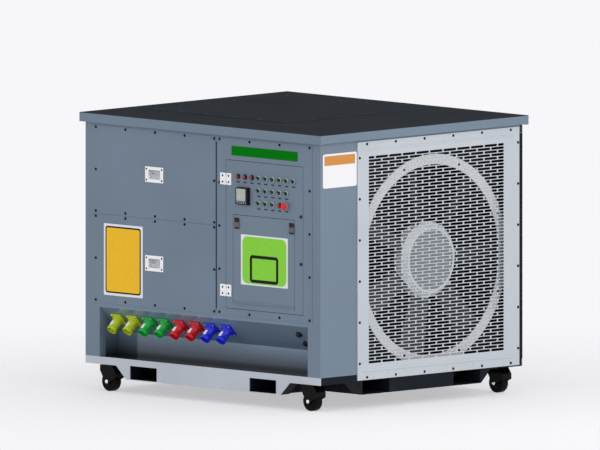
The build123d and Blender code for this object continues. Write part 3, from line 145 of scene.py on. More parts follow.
def patches(tree, place, size_mm, detail, span=(0.3, 0.7), out=(0.0, 1.0), rough=0.5):
    """Blotches of one size: the noise within the span is stretched to the out values."""
    cloud = add(tree, "ShaderNodeTexNoise", {"Vector": place, "Scale": across(size_mm), "Detail": detail,
                                             "Roughness": rough}).outputs["Fac"]
    return add(tree, "ShaderNodeMapRange", {0: cloud, 1: span[0], 2: span[1], 3: out[0], 4: out[1]}).outputs[0]


def blend(tree, factor, first, second):
    """Goes from the first colour to the second with the factor."""
    return add(tree, "ShaderNodeMix", {0: factor, 6: first, 7: second}, data_type="RGBA").outputs[2]


def relief(tree, shader, place, size_mm, depth_mm):
    """A fine grain pressed into the surface."""
    grain = add(tree, "ShaderNodeTexNoise", {"Vector": place, "Scale": across(size_mm), "Detail": 2})
    raised = add(tree, "ShaderNodeBump", {"Height": grain.outputs["Fac"], "Distance": depth_mm * MM,
                                          "Strength": 1.0})
    tree.links.new(raised.outputs[0], shader.inputs["Normal"])


# ------------------------------------------------------------------ kinds of finish
def coated(name, code, rough=0.45, peel_mm=1.6, peel=0.05, shade=0.05, metal=0.0, dust=0.0, specular=0.5,
           low=None):
    """Sprayed sheet metal: fine orange peel, slow tone changes, a little dust.

    low is (colour, height, height): painted shade in that colour at the first height, none at the second."""
    made, tree, shader, place = start(name)
    slow = patches(tree, place, 380, 3)
    colour = blend(tree, slow, scaled(code, 1 - shade), scaled(code, 1 + shade))
    if dust:
        settled = patches(tree, place, 60, 6, (0.5, 0.8), (0, dust), 0.65)
        colour = blend(tree, settled, colour, srgb("9A9DA0"))
    if low:
        # Painted shade: below the second height the paint darkens into the low colour
        height = add(tree, "ShaderNodeSeparateXYZ", {0: place}).outputs[2]
        painted_shade_fade = add(tree, "ShaderNodeMapRange", {0: height, 1: low[1], 2: low[2]}).outputs[0]
        colour = blend(tree, painted_shade_fade, srgb(low[0]), colour)
    tree.links.new(colour, shader.inputs["Base Color"])
    worn = patches(tree, place, 25, 4, out=(max(0.03, rough - 0.06), rough + 0.06))
    tree.links.new(worn, shader.inputs["Roughness"])
    shader.inputs["Metallic"].default_value = metal
    shader.inputs["Specular IOR Level"].default_value = specular
    relief(tree, shader, place, peel_mm, peel)
    return made


def moulded(name, code, rough=0.35, grain_mm=0.8, grain=0.02, coat=0.0, shade=0.06, specular=0.5):
    """Injection-moulded plastic: fine grain and a faint scuff pattern."""
    made, tree, shader, place = start(name)
    tone = patches(tree, place, 18, 3)
    colour = blend(tree, tone, scaled(code, 1 - shade), scaled(code, 1 + shade))
    tree.links.new(colour, shader.inputs["Base Color"])
    scuffs = patches(tree, place, 6, 3, out=(max(0.03, rough - 0.05), rough + 0.07))
    tree.links.new(scuffs, shader.inputs["Roughness"])
    shader.inputs["Coat Weight"].default_value = coat
    shader.inputs["Coat Roughness"].default_value = 0.1
    shader.inputs["Specular IOR Level"].default_value = specular
    relief(tree, shader, place, grain_mm, grain)
    return made


def printed(name, code, shade=0.03, specular=0.2, rough=0.35):
    """Smooth printed film on a plate, with an even colour."""
    return moulded(name, code, rough, 3, 0.005, shade=shade, specular=specular)


def bare_metal(name, code, rough=0.35, brush=(1, 12, 12)):
    """Bare or zinc-plated metal with a faint grain, drawn out along x when it is brushed."""
    made, tree, shader, place = start(name)
    drawn = add(tree, "ShaderNodeVectorMath", {0: place, 1: brush}, operation="MULTIPLY").outputs[0]
    grain = add(tree, "ShaderNodeTexNoise", {"Vector": drawn, "Scale": across(6), "Detail": 4,
                                             "Roughness": 0.6}).outputs["Fac"]
    tree.links.new(blend(tree, grain, scaled(code, 0.88), srgb(code)), shader.inputs["Base Color"])
    worn = add(tree, "ShaderNodeMapRange", {0: grain, 1: 0.2, 2: 0.8, 3: rough - 0.08, 4: rough + 0.08})
    tree.links.new(worn.outputs[0], shader.inputs["Roughness"])
    shader.inputs["Metallic"].default_value = 1.0
    raised = add(tree, "ShaderNodeBump", {"Height": grain, "Distance": 0.03 * MM, "Strength": 1.0})
    tree.links.new(raised.outputs[0], shader.inputs["Normal"])
    return made


def display(name):
    """Liquid-crystal window: a pale green-grey ground with a fine cell grid under gloss."""
    made, tree, shader, place = start(name)
    in_mm = add(tree, "ShaderNodeVectorMath", {0: place, 1: (1 / MM, 1 / MM, 1 / MM)}, operation="MULTIPLY")
    cells = add(tree, "ShaderNodeTexBrick",
                {"Vector": in_mm.outputs[0], "Color1": srgb("A3A99C"), "Color2": srgb("A9AFA2"),
                 "Mortar": srgb("93998D"), "Scale": 1.0, "Mortar Size": 0.02, "Brick Width": 0.8,
                 "Row Height": 0.8}, offset=0.0)
    ground = blend(tree, patches(tree, place, 30, 2), cells.outputs[0], srgb("B2B7AC"))
    tree.links.new(ground, shader.inputs["Base Color"])
    shader.inputs["Roughness"].default_value = 0.2
    shader.inputs["Coat Weight"].default_value = 0.7
    return made


def rotor_finish(name, centre_y, centre_z, hub_radius):
    """Fan moulding: bright flared rim, mid-grey hub disc, near-black blades."""
    made, tree, shader, place = start(name)
    centred = add(tree, "ShaderNodeVectorMath", {0: place, 1: (0, centre_y, centre_z)}, operation="SUBTRACT")
    flat = add(tree, "ShaderNodeVectorMath", {0: centred.outputs[0], 1: (0, 1, 1)}, operation="MULTIPLY")
    away = add(tree, "ShaderNodeVectorMath", {0: flat.outputs[0]}, operation="LENGTH").outputs["Value"]
    grain = patches(tree, place, 120, 4)
    rim = blend(tree, grain, srgb("D8DCE1"), srgb("E4E7EB"))
    flare = add(tree, "ShaderNodeMapRange", {0: away, 1: hub_radius * 0.78, 2: hub_radius * 0.82}).outputs[0]
    hub = blend(tree, flare, srgb("868C94"), rim)
    blade = blend(tree, grain, srgb("14171A"), srgb("20242A"))
    outside = add(tree, "ShaderNodeMapRange", {0: away, 1: hub_radius, 2: hub_radius + 4 * MM}).outputs[0]
    tree.links.new(blend(tree, outside, hub, blade), shader.inputs["Base Color"])
    shader.inputs["Roughness"].default_value = 0.4
    relief(tree, shader, place, 1.5, 0.03)
    return made


# ------------------------------------------------------------------ finishes
# Powder coat on the cabinet: blue-grey, satin, with a soft sheen and faint orange peel
grey_coat = coated("grey_powder_coat", "6B7C8C", 0.42, specular=0.4)
# Powder coat on the front cladding: pale grey, satin
pale_coat = coated("pale_grey_powder_coat", "BAC0C8", 0.4)
# Silver lacquer on the grille and louvres: cool pale grey with a slight metal lift
silver_coat = coated("silver_spray", "B9C0C7", 0.32, shade=0.04, metal=0.1)
# Silver on the fan ring, with painted light: lighter than the grille's silver to offset the shade behind the
# slots, so that it shows there
ring_painted_light_coat = coated("bright_silver_spray", "DCE0E5", 0.4, shade=0.03)
# Black paint on base, skids and rear cover: blue-black and nearly matt
black_coat = coated("satin_black_spray", "1A1E24", 0.42, shade=0.12, dust=0.02, specular=0.04)
# Gloss black on the castor forks: deep black with sharp reflections
fork_coat = coated("gloss_black_spray", "060708", 0.12, peel=0.01, specular=0.1)
# Roof paint: even dark grey without shine, also at a low angle
roof_coat = coated("roof_black_spray", "34383C", 0.6, shade=0.06, specular=0.0)
# Gloss paint in the bay: mirrors the sockets faintly, with painted shade darkening it towards its floor
bay_coat = coated("bay_grey_gloss_spray", "74879A", 0.08, peel=0.005, shade=0.04, metal=0.25, specular=0.4,
                  low=("24282E", 190 * MM, 320 * MM))
# Duct paint: near-black, painted shade that stands for the dim inside of the cabinet behind the grille
duct_painted_shade_coat = coated("duct_black_spray", "08090A", 0.6, shade=0.15, specular=0.1)
# Primer on the fan motor: dull black
inner_coat = coated("black_primer", "101214", 0.7, specular=0.1)
# Powder coat on handles and hinges: clean white, satin
white_coat = coated("white_powder_coat", "F4F5F6", 0.35, shade=0.03)

# Zinc plate: mid-grey metal with a faint grain
zinc = bare_metal("zinc_plated_steel", "B9BDC2", 0.38)
# Fresh zinc on the axle nuts: bright spots on the black castors
nut_steel = bare_metal("bright_zinc_plated_steel", "F2F4F6", 0.25, (1, 1, 1))
# Blackened steel: small dark screw heads with a glint
dark_screw = bare_metal("blackened_steel", "15181C", 0.3)
# Galvanised sheet inside the door: grey, blotchy, soft
galvanised = bare_metal("galvanised_sheet", "AEB4BB", 0.42, (1, 1, 1))
# Heater sheaths after use: brown-grey and dull
element_steel = bare_metal("heated_stainless_sheath", "4A4540", 0.5)

# Socket shells: glossy, strongly coloured nylon
yellow = moulded("yellow_green_moulding", "B4C80C", 0.22, specular=0.4)
green = moulded("green_moulding", "06A83C", 0.22, specular=0.4)
red = moulded("red_moulding", "CC1420", 0.22, specular=0.4)
blue = moulded("blue_moulding", "1C28D2", 0.22, specular=0.4)
# Black nylon and ABS: satin, almost no sheen
black_plastic = moulded("black_moulding", "101214", 0.35, specular=0.25)
# Selector grips: very dark green, slightly shiny
knob_green = moulded("dark_green_moulding", "12421E", 0.3, specular=0.3)
# Lamp lenses: dark red under a clear gloss
lamp_lens = moulded("red_lamp_lens", "8C0E16", 0.15, coat=0.25)
# Mushroom button: bright signal red
stop_red = moulded("red_mushroom_moulding", "E40C14", 0.18, coat=0.1, specular=0.3)
# Latch sliders: brown-grey, dull
slider_plastic = moulded("brown_grey_moulding", "5C5656", 0.45)
# Tyre tread: black rubber with a coarse matt grain
rubber = moulded("tyre_rubber", "070708", 0.5, 1.5, 0.06, specular=0.08)
# Membrane keys: plain white
key_white = moulded("white_key_membrane", "F4F5F6", 0.4)
# Meter window
lcd = display("liquid_crystal_window")
# Fan rotor
rotor_coat = rotor_finish("fan_moulding", FAN_Y, FAN_Z, HUB_RADIUS)

# Bare and printed plates: flat even colour with a low sheen
label_white = printed("blank_white_label", "E6E6E8", 0.02, 0.3, 0.32)
label_green = printed("blank_green_label", "0A7615", specular=0.0)
label_lime = printed("blank_lime_label", "86D238")
label_yellow = printed("blank_yellow_label", "F2BC1C")
label_orange = printed("blank_orange_label", "C98A45")
label_black = printed("black_label_print", "0C0C0D", 0.06, 0.15, 0.4)

finishes = {
    "base_frame": black_coat, "skids": black_coat, "end_cladding": pale_coat, "cabinet_frame": grey_coat,
    "bay_liner": bay_coat, "aux_sockets": black_plastic, "front_panels": grey_coat, "handle_dishes": white_coat,
    "control_enclosure": galvanised, "fan_shroud": duct_painted_shade_coat, "fan_ring": ring_painted_light_coat, "fan_motor": inner_coat,
    "resistor_bank": element_steel, "outlet_louvres": silver_coat, "rear_cover": black_coat,
    "roof_rim": grey_coat, "roof_panels": roof_coat, "hinge_frame_leaves": white_coat,
    "control_door": grey_coat, "hinge_door_leaves": white_coat, "selector_bezels": zinc,
    "controller_flap": grey_coat, "flap_latch_left": slider_plastic, "flap_latch_right": slider_plastic,
    "door_lock_upper": black_plastic, "door_lock_lower": black_plastic, "handle_bail_upper": zinc,
    "handle_bail_lower": zinc, "fan_rotor": rotor_coat, "sockets_yellow": yellow, "sockets_green": green,
    "sockets_red": red, "sockets_blue": blue,
}
families = {"selector_knob": knob_green, "castor_fork": fork_coat, "castor_wheel": rubber}
for node_name, solid in nodes.items():
    family = [finish for begin, finish in families.items() if node_name.startswith(begin)]
    finish = finishes.get(node_name) or (family[0] if family else black_plastic)
    solid.data.materials.clear()
    solid.data.materials.append(finish)


# ------------------------------------------------------------------ placing
def on_front(x, z, y=FACE):
    """Local x to the right, y up, z out of the front."""
    return Matrix(((1, 0, 0, x), (0, 0, -1, y), (0, 1, 0, z), (0, 0, 0, 1)))


def on_side(y, z, x=GRILLE_X):
    """Local x to the right, y up, z out of the fan side."""
    return Matrix(((0, 0, 1, x), (1, 0, 0, y), (0, 1, 0, z), (0, 0, 0, 1)))


def on_roof(x, y):
    """Local z up, a little under the roof's top so that the screw heads stay inside the solids' box."""
    return Matrix.Translation((x, y, ROOF_Z - ROOF_SCREW_SINK))


def on_slope(x, down):
    """Local y up the raked panel, z out of it into the bay."""
    return Matrix(((1, 0, 0, x), (0, -DIAGONAL, -DIAGONAL, BODY_FRONT + down * DIAGONAL),
                   (0, DIAGONAL, -DIAGONAL, BAY_TOP - down * DIAGONAL), (0, 0, 0, 1)))


def device_at(column, row, drop=0.0):
    """The place of a device on the door."""
    return on_front(COLUMN_X + column * COLUMN_PITCH, ROW_Z[row] - drop)


def spread(first, last, count):
    """Evenly spaced values, both ends counted."""
    return [first + i * (last - first) / (count - 1) for i in range(count)]


# ------------------------------------------------------------------ shaping
def piece(name, bm, body, finish, *more):
    """Turns a bmesh into an object that rides on a body."""
    bmesh.ops.recalc_face_normals(bm, faces=bm.faces)
    mesh = bpy.data.meshes.new(name)
    bm.to_mesh(mesh)
    bm.free()
    made = bpy.data.objects.new(name, mesh)
    bpy.context.scene.collection.objects.link(made)
    for each in (finish,) + more:
        mesh.materials.append(each)
    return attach(made, body)


def smooth(made, degrees=35):
    """Smooth faces, with sharp edges kept where the faces turn by more than the angle."""
    mesh = made.data
    for face in mesh.polygons:
        face.use_smooth = True
    mesh.set_sharp_from_angle(angle=math.radians(degrees))
    return made


def soft_box(bm, matrix, size, bevel=0.0, segments=2, index=0):
    """A box of the given size on the local plane: centred in x and y, standing on z = 0."""
    made = bmesh.ops.create_cube(bm, size=1.0)["verts"]
    stand = Matrix.Translation((0, 0, size[2] / 2)) @ Matrix.Diagonal((*size, 1))
    bmesh.ops.transform(bm, verts=made, matrix=matrix @ stand)
    faces = {f for v in made for f in v.link_faces}
    if bevel:
        edges = {e for f in faces for e in f.edges}
        more = bmesh.ops.bevel(bm, geom=list(edges), offset=bevel, segments=segments, affect="EDGES",
                               profile=0.5, material=-1)["faces"]
        faces = {f for f in faces if f.is_valid} | set(more)
    for face in faces:
        face.material_index = index


def rounded_plate(bm, matrix, width, height, thick, radius, index=0, rim=0.0):
    """A plate with rounded corners; with a rim it is an open frame that wide."""
    before = set(bm.faces)
    outlines = [(width, height, radius)]
    if rim:
        outlines.append((width - 2 * rim, height - 2 * rim, max(radius - rim, 0.5 * MM)))
    for wide, tall, curve in outlines:
        made = bmesh.ops.create_cube(bm, size=1.0)["verts"]
        bmesh.ops.scale(bm, verts=made, vec=(wide, tall, thick))
        bmesh.ops.translate(bm, verts=made, vec=(0, 0, thick / 2))
        upright = {e for v in made for e in v.link_edges if abs(e.verts[0].co.z - e.verts[1].co.z) > thick / 2}
        bmesh.ops.bevel(bm, geom=list(upright), offset=curve, segments=6, affect="EDGES", profile=0.5,
                        material=-1)
    for level in (0, thick) if rim else ():
        flat = [f for f in set(bm.faces) - before if all(abs(v.co.z - level) < thick / 4 for v in f.verts)]
        mouths = {e for f in flat for e in f.edges}
        bmesh.ops.delete(bm, geom=flat, context="FACES_ONLY")
        bmesh.ops.triangle_fill(bm, use_beauty=True, edges=list(mouths), normal=(0, 0, 1))
    faces = set(bm.faces) - before
    for face in faces:
        face.material_index = index
    bmesh.ops.transform(bm, verts=list({v for f in faces for v in f.verts}), matrix=matrix)


def lathe(bm, matrix, profile, steps=32, index=0):
    """Spins a profile of (radius, height) round the local z axis."""
    chain = [bm.verts.new((r, 0, h)) for r, h in profile]
    edges = [bm.edges.new(pair) for pair in zip(chain, chain[1:])]
    bmesh.ops.spin(bm, geom=chain + edges, cent=(0, 0, 0), axis=(0, 0, 1), angle=2 * math.pi, steps=steps,
                   use_merge=True, use_duplicate=False)
    seen, queue = set(chain), list(chain)
    while queue:
        for edge in queue.pop().link_edges:
            for vert in set(edge.verts) - seen:
                seen.add(vert)
                queue.append(vert)
    close = [v for v in seen if v.co.x ** 2 + v.co.y ** 2 < 1e-12]
    bmesh.ops.remove_doubles(bm, verts=close, dist=1e-6)
    seen = {v for v in seen if v.is_valid}
    for face in {f for v in seen for f in v.link_faces}:
        face.material_index = index
    bmesh.ops.transform(bm, verts=list(seen), matrix=matrix)


def turned(name, body, places, profile, steps, finish):
    """One piece with the same turned form at every place."""
    bm = bmesh.new()
    for place in places:
        lathe(bm, place, profile, steps)
    return smooth(piece(name, bm, body, finish))


# ------------------------------------------------------------------ grille
def slot_cell(bm, y0, y1, z0):
    """One cell of the sheet, one pitch high, with a round-ended slot through it."""
    radius, steps = SLOT_HEIGHT / 2, 4
    cy, cz = (y0 + y1) / 2, z0 + SLOT_PITCH_Z / 2
    half = (y1 - y0 - (SLOT_PITCH_Y - SLOT_LENGTH)) / 2 - radius
    inner, outer = [], []
    for side in (1, -1):
        for step in range(steps + 1):
            angle = math.radians(180 * step / steps - 90 * side)
            inner.append((cy + side * half + radius * math.cos(angle), cz + radius * math.sin(angle)))
            rise = step / steps if side > 0 else 1 - step / steps
            outer.append((y1 if side > 0 else y0, z0 + SLOT_PITCH_Z * rise))
    rim, edge = ([bm.verts.new((GRILLE_X, y, z)) for y, z in line] for line in (inner, outer))
    deep, rear = ([bm.verts.new((GRILLE_X - SLOT_SHEET, y, z)) for y, z in line] for line in (inner, outer))
    for i in range(len(inner)):
        j = (i + 1) % len(inner)
        bm.faces.new((edge[i], edge[j], rim[j], rim[i]))
        bm.faces.new((rim[i], rim[j], deep[j], deep[i]))
        bm.faces.new((rear[j], rear[i], deep[i], deep[j]))


def grille_sheet():
    """The slotted field of the grille."""
    bm = bmesh.new()
    whole = [FIELD_Y0 + column * SLOT_PITCH_Y for column in range(SLOT_COLUMNS + 1)]
    shifted = [FIELD_Y0] + [y + SLOT_PITCH_Y / 2 for y in whole[:-1]] + [FIELD_Y1]
    for row in range(SLOT_ROWS):
        cuts = shifted if row % 2 else whole
        for y0, y1 in zip(cuts, cuts[1:]):
            slot_cell(bm, y0, y1, FIELD_Z0 + row * SLOT_PITCH_Z)
    made = piece("grille_sheet", bm, "cabinet", silver_coat)
    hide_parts("grille_panel")


def bead(bm, y0, y1, z):
    """A pressed bead along the sheet: a half-round that runs out at both ends."""
    rows = []
    for y, scale in ((y0, 0.0), (y0 + 3 * MM, 0.7), (y0 + 9 * MM, 1.0), (y1 - 9 * MM, 1.0), (y1 - 3 * MM, 0.7),
                     (y1, 0.0)):
        half = BEAD_HEIGHT * max(scale, 0.2)
        angles = spread(0, math.pi, 17)
        rows.append([bm.verts.new((GRILLE_X + BEAD_PROUD * scale * math.sin(a), y, z + half * math.cos(a)))
                     for a in angles])
    for first, second in zip(rows, rows[1:]):
        for k in range(16):
            bm.faces.new((first[k], first[k + 1], second[k + 1], second[k]))


def grille_border():
    """The plain edge of the grille sheet with its two beads."""
    bm = bmesh.new()
    low, high = grille_low, grille_high
    for y0, y1, z0, z1 in ((low.y, high.y, FIELD_Z1, high.z), (low.y, high.y, low.z, FIELD_Z0),
                           (low.y, FIELD_Y0, FIELD_Z0, FIELD_Z1), (FIELD_Y1, high.y, FIELD_Z0, FIELD_Z1)):
        soft_box(bm, on_side((y0 + y1) / 2, (z0 + z1) / 2, BODY_X), (y1 - y0, z1 - z0, GRILLE_THICK))
    for z in BEAD_Z:
        bead(bm, -455 * MM, 710 * MM, z)
    made = smooth(piece("grille_border", bm, "cabinet", silver_coat), 50)


def fan_ring():
    """The turned ring behind the grille, with eight screws round it."""
    bm = bmesh.new()
    inner, soft = RING_RADIUS - RING_WIDTH, 1.5 * MM
    lathe(bm, on_side(FAN_Y, FAN_Z, ring_low.x),
          [(inner, 0.0), (inner, RING_THICK - soft), (inner + soft, RING_THICK),
           (RING_RADIUS - soft, RING_THICK), (RING_RADIUS, RING_THICK - soft), (RING_RADIUS, 0.0),
           (inner, 0.0)], 160)
    middle = RING_RADIUS - RING_WIDTH / 2
    for step in range(8):
        angle = math.radians(22.5 + 45 * step)
        place = on_side(FAN_Y + middle * math.cos(angle), FAN_Z + middle * math.sin(angle),
                        ring_low.x + RING_THICK)
        lathe(bm, place, [(0.0, 1.5 * MM), (7 * MM, 1.2 * MM), (9 * MM, 0.0)], 16, 1)
    made = smooth(piece("ring_turning", bm, "cabinet", ring_painted_light_coat, dark_screw))
    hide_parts("fan_ring")


grille_sheet()
grille_border()
fan_ring()

# ------------------------------------------------------------------ screws
# Domed head with a hexagon socket turned as a round one
DOME = [(0.0, 0.0042), (0.0028, 0.0042), (0.0028, 0.0025), (0.0036, 0.0025), (0.0040, 0.0041), (0.0058, 0.0034),
        (0.0070, 0.0022), (0.0074, 0.0008), (0.0074, 0.0)]


def panel_screws():
    """The screws of the covers, the surround, the grille and the roof hatch."""
    front, side = [], []
    for x in spread(*COVER_X, 5):
        front += [on_front(x, z) for z in COVER_Z]
    for x in COVER_X:
        front += [on_front(x, z) for z in HANDLE_Z]
    for x in spread(*SURROUND_X, 4):
        front += [on_front(x, z) for z in (COVER_Z[0], COVER_Z[-1])]
    for x in SURROUND_X:
        front += [on_front(x, z) for z in spread(COVER_Z[-1], COVER_Z[0], 5)[1:-1]]
    for y in spread(*GRILLE_ROW_Y, 6):
        side += [on_side(y, z) for z in GRILLE_ROW_Z]
    for z in spread(*GRILLE_COLUMN_Z, 6):
        side += [on_side(y, z) for y in GRILLE_COLUMN_Y]
    roof = [on_roof(x, y) for x in spread(*HATCH_X, 6) for y in HATCH_Y]
    roof += [on_roof(x, y) for x in HATCH_X for y in spread(*HATCH_Y, 6)[1:-1]]
    for name, places in (("front_screws", front), ("grille_screws", side), ("roof_screws", roof)):
        made = turned(name, "cabinet", places, DOME, 16, dark_screw)
        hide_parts("panel_screws")


panel_screws()


# ------------------------------------------------------------------ blank labels
def blank_labels():
    """Plain plates and strips, with no lettering or sign on them."""
    bm = bmesh.new()
    rounded_plate(bm, on_front(0.4745, 1.3845), 0.507, 0.052, 1.2 * MM, 1.5 * MM)
    piece("green_strip", bm, "cabinet", label_green)

    bm = bmesh.new()
    rounded_plate(bm, on_front(-0.6075, 0.7245), 0.297, 0.390, 1.5 * MM, 3 * MM)
    rounded_plate(bm, on_front(-0.60825, 0.725, FACE - 1.5 * MM), 0.270, 0.364, 0.4 * MM, 16 * MM, 1)
    rounded_plate(bm, on_front(-0.60825, 0.725, FACE - 1.9 * MM), 0.253, 0.347, 0.4 * MM, 10 * MM, 2)
    piece("side_sign_plate", bm, "cabinet", label_white, label_black, label_yellow)

    bm = bmesh.new()
    rounded_plate(bm, on_side(-0.6265, 1.314, BODY_X), 0.259, 0.186, 1.5 * MM, 12 * MM)
    rounded_plate(bm, on_side(-0.6275, 1.370, BODY_X + 1.5 * MM), 0.235, 0.052, 0.4 * MM, 3 * MM, 1)
    piece("corner_plate", bm, "cabinet", label_white, label_orange)

    bm = bmesh.new()
    rounded_plate(bm, on_front(0.4735, 0.797), 0.359, 0.273, 1.2 * MM, 4 * MM)
    rounded_plate(bm, on_front(0.4745, 0.7965, FACE - 1.2 * MM), 0.337, 0.256, 0.4 * MM, 36 * MM, 1)
    rounded_plate(bm, on_front(0.472, 0.7505, FACE - 1.6 * MM), 0.218, 0.150, 0.5 * MM, 20 * MM, 2, 17 * MM)
    piece("flap_label", bm, "flap", label_white, label_lime, label_black)


blank_labels()

# ------------------------------------------------------------------ door devices
# Profiles are (radius, height above the panel), from the panel outwards
LAMP_BODY = [(0.0145, 0), (0.0145, 0.004), (0.013, 0.006), (0.0115, 0.0065), (0.0115, 0.0105)]
LAMP_LENS = [(0.0112, 0.0055), (0.0112, 0.012), (0.0104, 0.0142), (0.0075, 0.0158), (0, 0.0164)]
KNOB_SKIRT = [(0.0, 0.0003), (0.0020, 0.0003), (0.0020, 0.0063), (0.0105, 0.0063), (0.0105, 0.0082),
              (0.0095, 0.0092), (0.0, 0.0092)]
MUSHROOM = [(0.0096, 0.0056), (0.0096, 0.017), (0.0170, 0.0185), (0.0188, 0.0205), (0.0190, 0.0235),
            (0.0184, 0.0270), (0.0165, 0.0301), (0.0125, 0.0322), (0.0065, 0.0331), (0, 0.0331)]
LEAF_SCREW = [(0.0, 0.0006), (0.0022, 0.0006), (0.003, 0.0018), (0.0052, 0.0012), (0.0056, 0.0)]
EAR_SCREW = [(0.0, 0.0006), (0.0020, 0.0006), (0.003, 0.0016), (0.0048, 0.0010), (0.0052, 0.0)]


def lamp_heads():
    """Four pilot lamps: black body with a domed red lens."""
    bm = bmesh.new()
    for column, row in LAMPS:
        lathe(bm, device_at(column, row), LAMP_BODY, 32, 0)
        lathe(bm, device_at(column, row), LAMP_LENS, 32, 1)
    made = smooth(piece("lamp_heads", bm, "door", black_plastic, lamp_lens))
    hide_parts("pilot_lamps")


def device_tags():
    """A small blank tag under each device."""
    bm = bmesh.new()
    for column, row in list(LAMPS) + SELECTORS + [STOP]:
        rounded_plate(bm, device_at(column, row, TAG_DROP), 24 * MM, 6 * MM, 0.8 * MM, 1 * MM)
    piece("device_tags", bm, "door", label_black)


def bezel_rings():
    """Metal bezels of the selectors and the stop button, with the contact blocks behind the panel."""
    bm = bmesh.new()
    for column, row in SELECTORS + [STOP]:
        place = device_at(column, row)
        tall = 10 * MM if (column, row) == STOP else 6 * MM
        lathe(bm, place, [(0.0045, 0.0), (0.0045, tall), (0.0120, tall), (0.0135, tall - 0.6 * MM),
                          (0.0145, tall - 2 * MM), (0.0145, 0.0)], 32)
        soft_box(bm, place @ Matrix.Translation((0, 0, -45 * MM)), (28 * MM, 38 * MM, 42 * MM), 1 * MM, 1, 1)
    made = smooth(piece("bezel_rings", bm, "door", zinc, black_plastic))
    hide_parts("selector_bezels")


def knob_grips():
    """One green selector per body: a round skirt with a bar grip across it."""
    for number, (column, row) in enumerate(SELECTORS, 1):
        place = device_at(column, row)
        bm = bmesh.new()
        lathe(bm, place, KNOB_SKIRT, 28)
        turn = Matrix.Rotation(math.radians(KNOB_TURN), 4, "Z") @ Matrix.Translation((0, 0, 9 * MM))
        soft_box(bm, place @ turn, (9 * MM, 24 * MM, 8.2 * MM), 1.8 * MM, 3)
        made = smooth(piece(f"knob_grip_{number:02d}", bm, f"knob_{number:02d}", knob_green))
        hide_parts(f"selector_knob_{number:02d}")


def stop_mushroom():
    """The red mushroom of the stop button."""
    made = turned("stop_mushroom", "stop", [device_at(*STOP)], MUSHROOM, 40, stop_red)
    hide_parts("emergency_stop")


def meter_body():
    """Panel meter: flange, raised front with a window, five membrane keys, case behind the panel."""
    bm = bmesh.new()
    meter = on_front(METER_X, METER_Z)
    soft_box(bm, meter, (96 * MM, 96 * MM, 6 * MM), 1.2 * MM)
    soft_box(bm, meter @ Matrix.Translation((0, 0, 6 * MM)), (90 * MM, 90 * MM, 16 * MM), 2.5 * MM, 3)
    window = meter @ Matrix.Translation((0, 8 * MM, 22 * MM))
    rounded_plate(bm, window, 70 * MM, 66 * MM, 1.8 * MM, 3 * MM, 3, 3.5 * MM)
    glass = meter @ Matrix.Translation((0, 8 * MM, 21.5 * MM))
    rounded_plate(bm, glass, 64 * MM, 60 * MM, 0.8 * MM, 1 * MM, 1)
    for key in range(-2, 3):
        place = meter @ Matrix.Translation((key * 14.5 * MM, -34.5 * MM, 20.5 * MM))
        soft_box(bm, place, (11 * MM, 10 * MM, 3 * MM), 0.8 * MM, 2, 2)
    soft_box(bm, meter @ Matrix.Translation((0, 0, -50 * MM)), (89.5 * MM, 89.5 * MM, 50 * MM), 2 * MM)
    made = piece("meter_body", bm, "door", black_plastic, lcd, key_white, zinc)
    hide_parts("panel_meter")


def latch_plates():
    """The dark base plate under each flap latch."""
    bm = bmesh.new()
    for name in ("flap_latch_left", "flap_latch_right"):
        low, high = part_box(name)
        place = on_front((low.x + high.x) / 2, LATCH_Z, LEAF_FACE)
        rounded_plate(bm, place, 37.8 * MM, 60.8 * MM, 0.2 * MM, 2 * MM)
    piece("latch_plates", bm, "flap", black_plastic)


def hinge_screws():
    """Two screws in each hinge leaf, on the cabinet's leaves and on the door's."""
    for name, body, side in (("hinge_frame_screws", "cabinet", -1), ("hinge_door_screws", "door", 1)):
        places = [on_front(HINGE_X + side * 22.5 * MM, z + dz, LEAF_FACE)
                  for z in HINGE_Z for dz in (-17 * MM, 17 * MM)]
        turned(name, body, places, LEAF_SCREW, 16, dark_screw)


def handle_screws():
    """Four screws in the ears of each flush handle."""
    places = [on_front(HANDLE_X + dx, z + dz, LEAF_FACE)
              for z in HANDLE_Z for dx in (-58 * MM, 58 * MM) for dz in (-30 * MM, 30 * MM)]
    turned("handle_screws", "cabinet", places, EAR_SCREW, 16, dark_screw)


lamp_heads()
device_tags()
bezel_rings()
knob_grips()
stop_mushroom()
meter_body()
latch_plates()
hinge_screws()
handle_screws()

# ------------------------------------------------------------------ sockets in the bay
BARREL = [(0.033, 0.010), (0.033, 0.016), (0.0305, 0.019), (0.0280, 0.020), (0.0280, 0.030), (0.0268, 0.032),
          (0.0268, 0.072), (0.0280, 0.074), (0.0284, 0.085), (0.0272, 0.088), (0.0240, 0.088), (0.0240, 0.080),
          (0.0220, 0.080), (0.0220, 0.030), (0.0, 0.030)]
SLEEVE = [(0.0130, 0.031), (0.0130, 0.078), (0.0122, 0.0800), (0.0070, 0.0800), (0.0065, 0.0780),
          (0.0065, 0.060), (0.0, 0.060)]
FLANGE_SCREW = [(0.0, 0.0008), (0.0018, 0.0008), (0.0026, 0.0018), (0.0042, 0.0012), (0.0045, 0.0)]
AUX_CAP = [(0.0190, 0.0), (0.0190, 0.004), (0.0165, 0.006), (0.0160, 0.012), (0.0145, 0.0150),
           (0.0100, 0.0160), (0.0, 0.0160)]
TAG_RADIUS, TAG_FROM, TAG_TO = 27.3 * MM, 40 * MM, 70 * MM
TAG_BEGIN, TAG_SWEEP = 73, 48                 # degrees round the barrel


